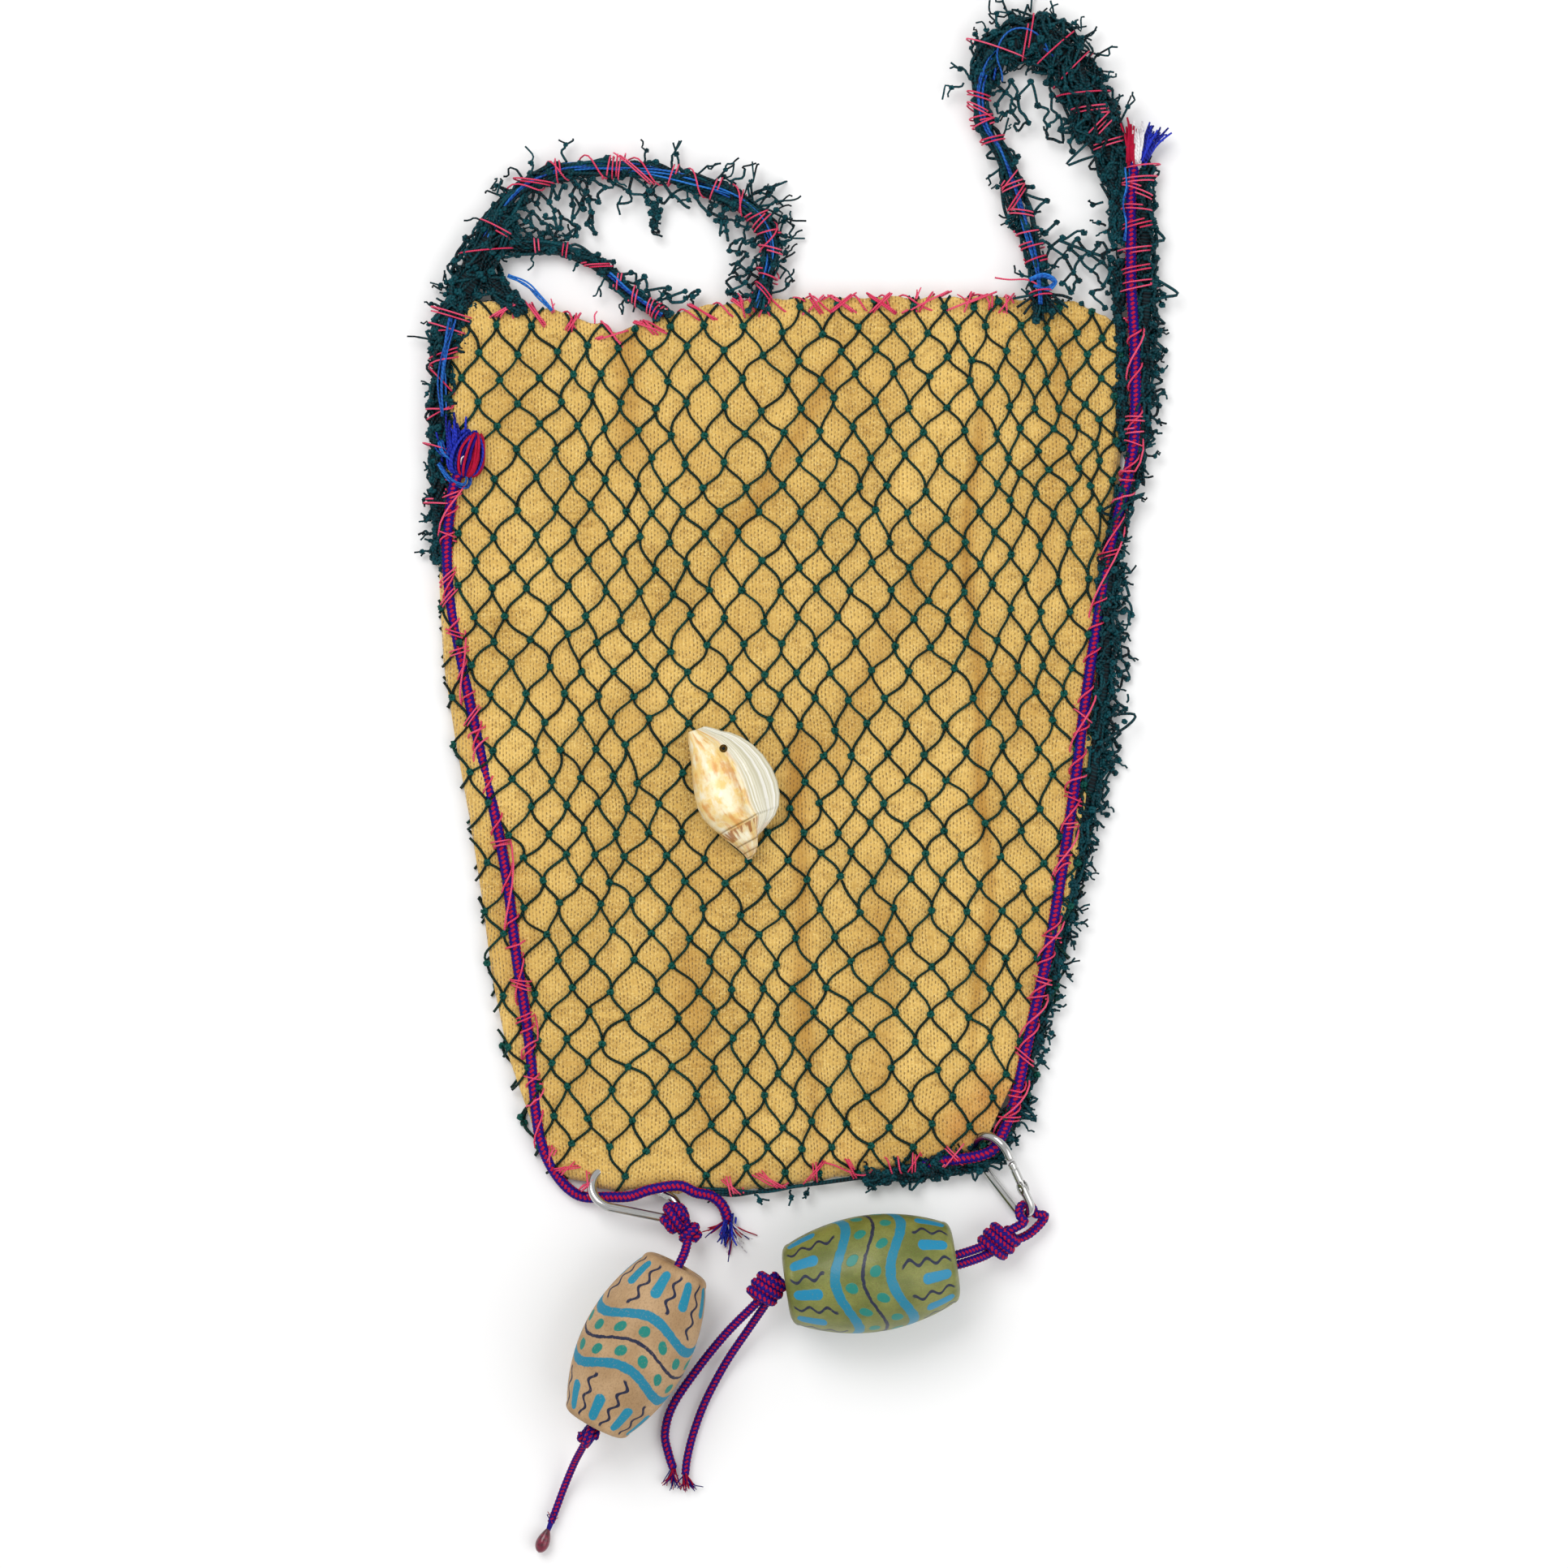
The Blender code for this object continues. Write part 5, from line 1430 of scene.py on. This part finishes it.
def shell_finish():
    """Cream and orange body whorl, brown band at the spire, white growth-lined lip."""
    f = Finish("sea_shell", 0.32)
    along, around = f.uv()
    body = f.band(around, 0.315, 0.265) * f.band(around, -0.01, 0.0)
    grid = f.vector(along, around * 88)
    vein = f.noise(f.vector(along * 0.35, around * 88), 0.22, 4)
    checks = f.band(f.noise(f.vector(along * 0.3, around * 88), 0.45, 2), 0.42, 0.56)
    lines = f.noise(f.vector(along * 0.02, around * 240), 0.35, 3)
    cloud = f.band(f.noise(grid, 0.11, 4, 0.65), 0.36, 0.60)
    cream = f.layered(f.mix(cloud, srgb(250, 238, 200), srgb(244, 208, 128)),
                      (f.band(vein, 0.50, 0.66) * 0.75, srgb(222, 148, 64)),
                      (f.band(vein, 0.48, 0.34) * 0.8, srgb(252, 246, 222)))
    lip = f.mix(f.band(lines, 0.38, 0.62), srgb(204, 198, 168), srgb(246, 244, 234))
    slant = around.times_plus(-13.3, along)
    collar = f.band(slant, 14.0, 13.2) * f.band(slant, 7.6, 8.6)
    tone = f.layered(f.mix(body, lip, cream),
                     (collar * checks * (body * 0.85), srgb(166, 98, 44)),
                     (f.band(slant, 7.8, 6.8) * f.band(vein, 0.4, 0.6) * 0.5, srgb(216, 170, 130)))
    for start, climb, _ in SHELL_SUTURES:
        off = abs(around.times_plus(-climb / 0.27, along) - (start - SUTURE_SHIFT))
        tone = f.mix(f.band(off, 0.55, 0.15) * (body * 0.55), tone, srgb(120, 74, 36))
    f.bump(lines.times_plus(0.5, f.noise(grid, 0.8, 3) * 0.25), 0.3)
    return f.done(tone, coat=0.15)


def make_shell():
    rest = node_box("shell")[0][2]
    along = unit(np.append(SHELL_TOP - SHELL_TIP, 0))
    across = np.array([along[1], -along[0], 0])
    body, lip = np.array(SHELL_BODY), np.array(SHELL_LIP)
    a = np.linspace(SHELL_BODY[0][0], SHELL_BODY[-1][0], 190)
    left, middle = np.interp(a, body[:, 0], body[:, 1]), np.interp(a, body[:, 0], body[:, 2])
    right = np.maximum(np.interp(a, lip[:, 0], lip[:, 1]), middle)
    tall = np.interp(a, [-1.3, 1, 4, 8, 12, 17, 24, 32, 40, 50, 60, 67.4],
                     [1.5, 4.6, 8, 11.5, 14.2, 18.5, 21.8, 22.6, 21, 17, 12, 7.5])
    rings = []
    for i, at in enumerate(a):
        v = np.linspace(0, 1, 29)[:-1]
        sweep = WHORL_SWEEP * v
        b = left[i] + (middle[i] - left[i]) * (1 - np.cos(sweep)) / (1 - math.cos(WHORL_SWEEP))
        floor_z = 0.42 * tall[i]
        z = floor_z + (tall[i] - floor_z) * np.sin(sweep)
        for start, climb, step in SHELL_SUTURES:
            line = start - SUTURE_SHIFT + climb * v
            z -= step * 1.5 / (1 + np.exp((at - line) / 0.22)) * np.exp(-np.clip(line - at, 0, 9) / 3.2)
            z -= 0.35 * step * np.exp(-((at - line) / 0.35) ** 2)
        knob = KNOB_TALL * np.exp(-((at - KNOB_AT) / KNOB_WIDE) ** 2) * np.cos(sweep * 3.0 + 0.5)
        z = z + knob * np.sin(sweep)
        flare = np.clip((right[i] - middle[i]) / 8, 0, 1)
        edge_z = flare * np.interp(at, [8, 20, 45, 62, 67], [6, 7.5, 6.5, 5.5, 5]) + (1 - flare) * floor_z
        t = np.linspace(0, 1, 24)
        root = z[-1]
        lip_b = middle[i] + (right[i] - middle[i]) * t
        lip_z = root + (edge_z - root) * t ** 1.25 + flare * (0.55 * np.sin(t * 17) * t * (1 - t) * 2
                                                             - 1.4 * np.sin(np.pi * np.clip(t * 3, 0, 1)))
        under_t = np.linspace(1, 0, 14)
        under_b = middle[i] + (right[i] - 0.5 * flare - middle[i]) * under_t
        thin = np.interp(under_t, [0, 0.75, 1], [root * 0.62, 2.2, 1.3]) * (0.4 + 0.6 * flare)
        under_z = np.maximum(np.interp(under_t, t, lip_z) - thin, 0.3)
        base_t = np.linspace(0, 1, 24)[1:-1]
        base_b = middle[i] + (left[i] - middle[i]) * base_t
        base_z = under_z[-1] * (1 - base_t) ** 2.2 + floor_z * base_t ** 3.4 + 0.1
        rings.append(np.column_stack([np.concatenate([b, lip_b, under_b, base_b]),
                                      np.concatenate([z, lip_z, under_z, base_z])]))
    rings = np.array(rings)
    origin = np.array([*SHELL_TIP, rest])
    verts = (origin + a[:, None, None] * along + rings[..., :1] * across
             + rings[..., 1:] * np.array([0, 0, 1.0]))
    turn = np.concatenate([np.linspace(0, 0.27, 28, endpoint=False), np.linspace(0.27, 0.5, 24),
                           np.linspace(0.51, 0.74, 14), np.linspace(0.76, 1, 22)])
    work = Strands()
    work.grid(verts, a, np.append(turn, 1.0), 0.5)
    shell = work.build("shell_body", shell_finish())
    hole = joint_spot("shell_turn")
    bpy.ops.mesh.primitive_cylinder_add(vertices=32, radius=2.0 * MM, depth=0.08,
                                        location=[c * MM for c in hole])
    drill = bpy.context.object
    cut = shell.modifiers.new("hole", "BOOLEAN")
    cut.object, cut.operation, cut.solver = drill, "DIFFERENCE", "EXACT"
    pierced = bpy.data.meshes.new_from_object(shell.evaluated_get(bpy.context.evaluated_depsgraph_get()))
    shell.modifiers.clear()
    shell.data = pierced
    bpy.data.objects.remove(drill)
    seat(shell, "shell_charm", "shell")
    tie = Strands()
    tie.tube(smooth([(*hole[:2], rest + 0.2), (*hole[:2], rest + 6), (*hole[:2], rest + 10)], 1.0), 0.8,
             8, 0.1)
    seat(tie.build("shell_tie_twine", BUNDLE), "bag", "shell_tie")


make_pouch()
make_nets()
make_side_cords()
make_left_handle()
make_right_handle()
make_rolls()
make_stitching()
for hook_side in ("left", "right"):
    make_hook(hook_side)
make_left_lanyard()
make_right_lanyard()
make_floats()
make_shell()
make_stage()
make_camera()
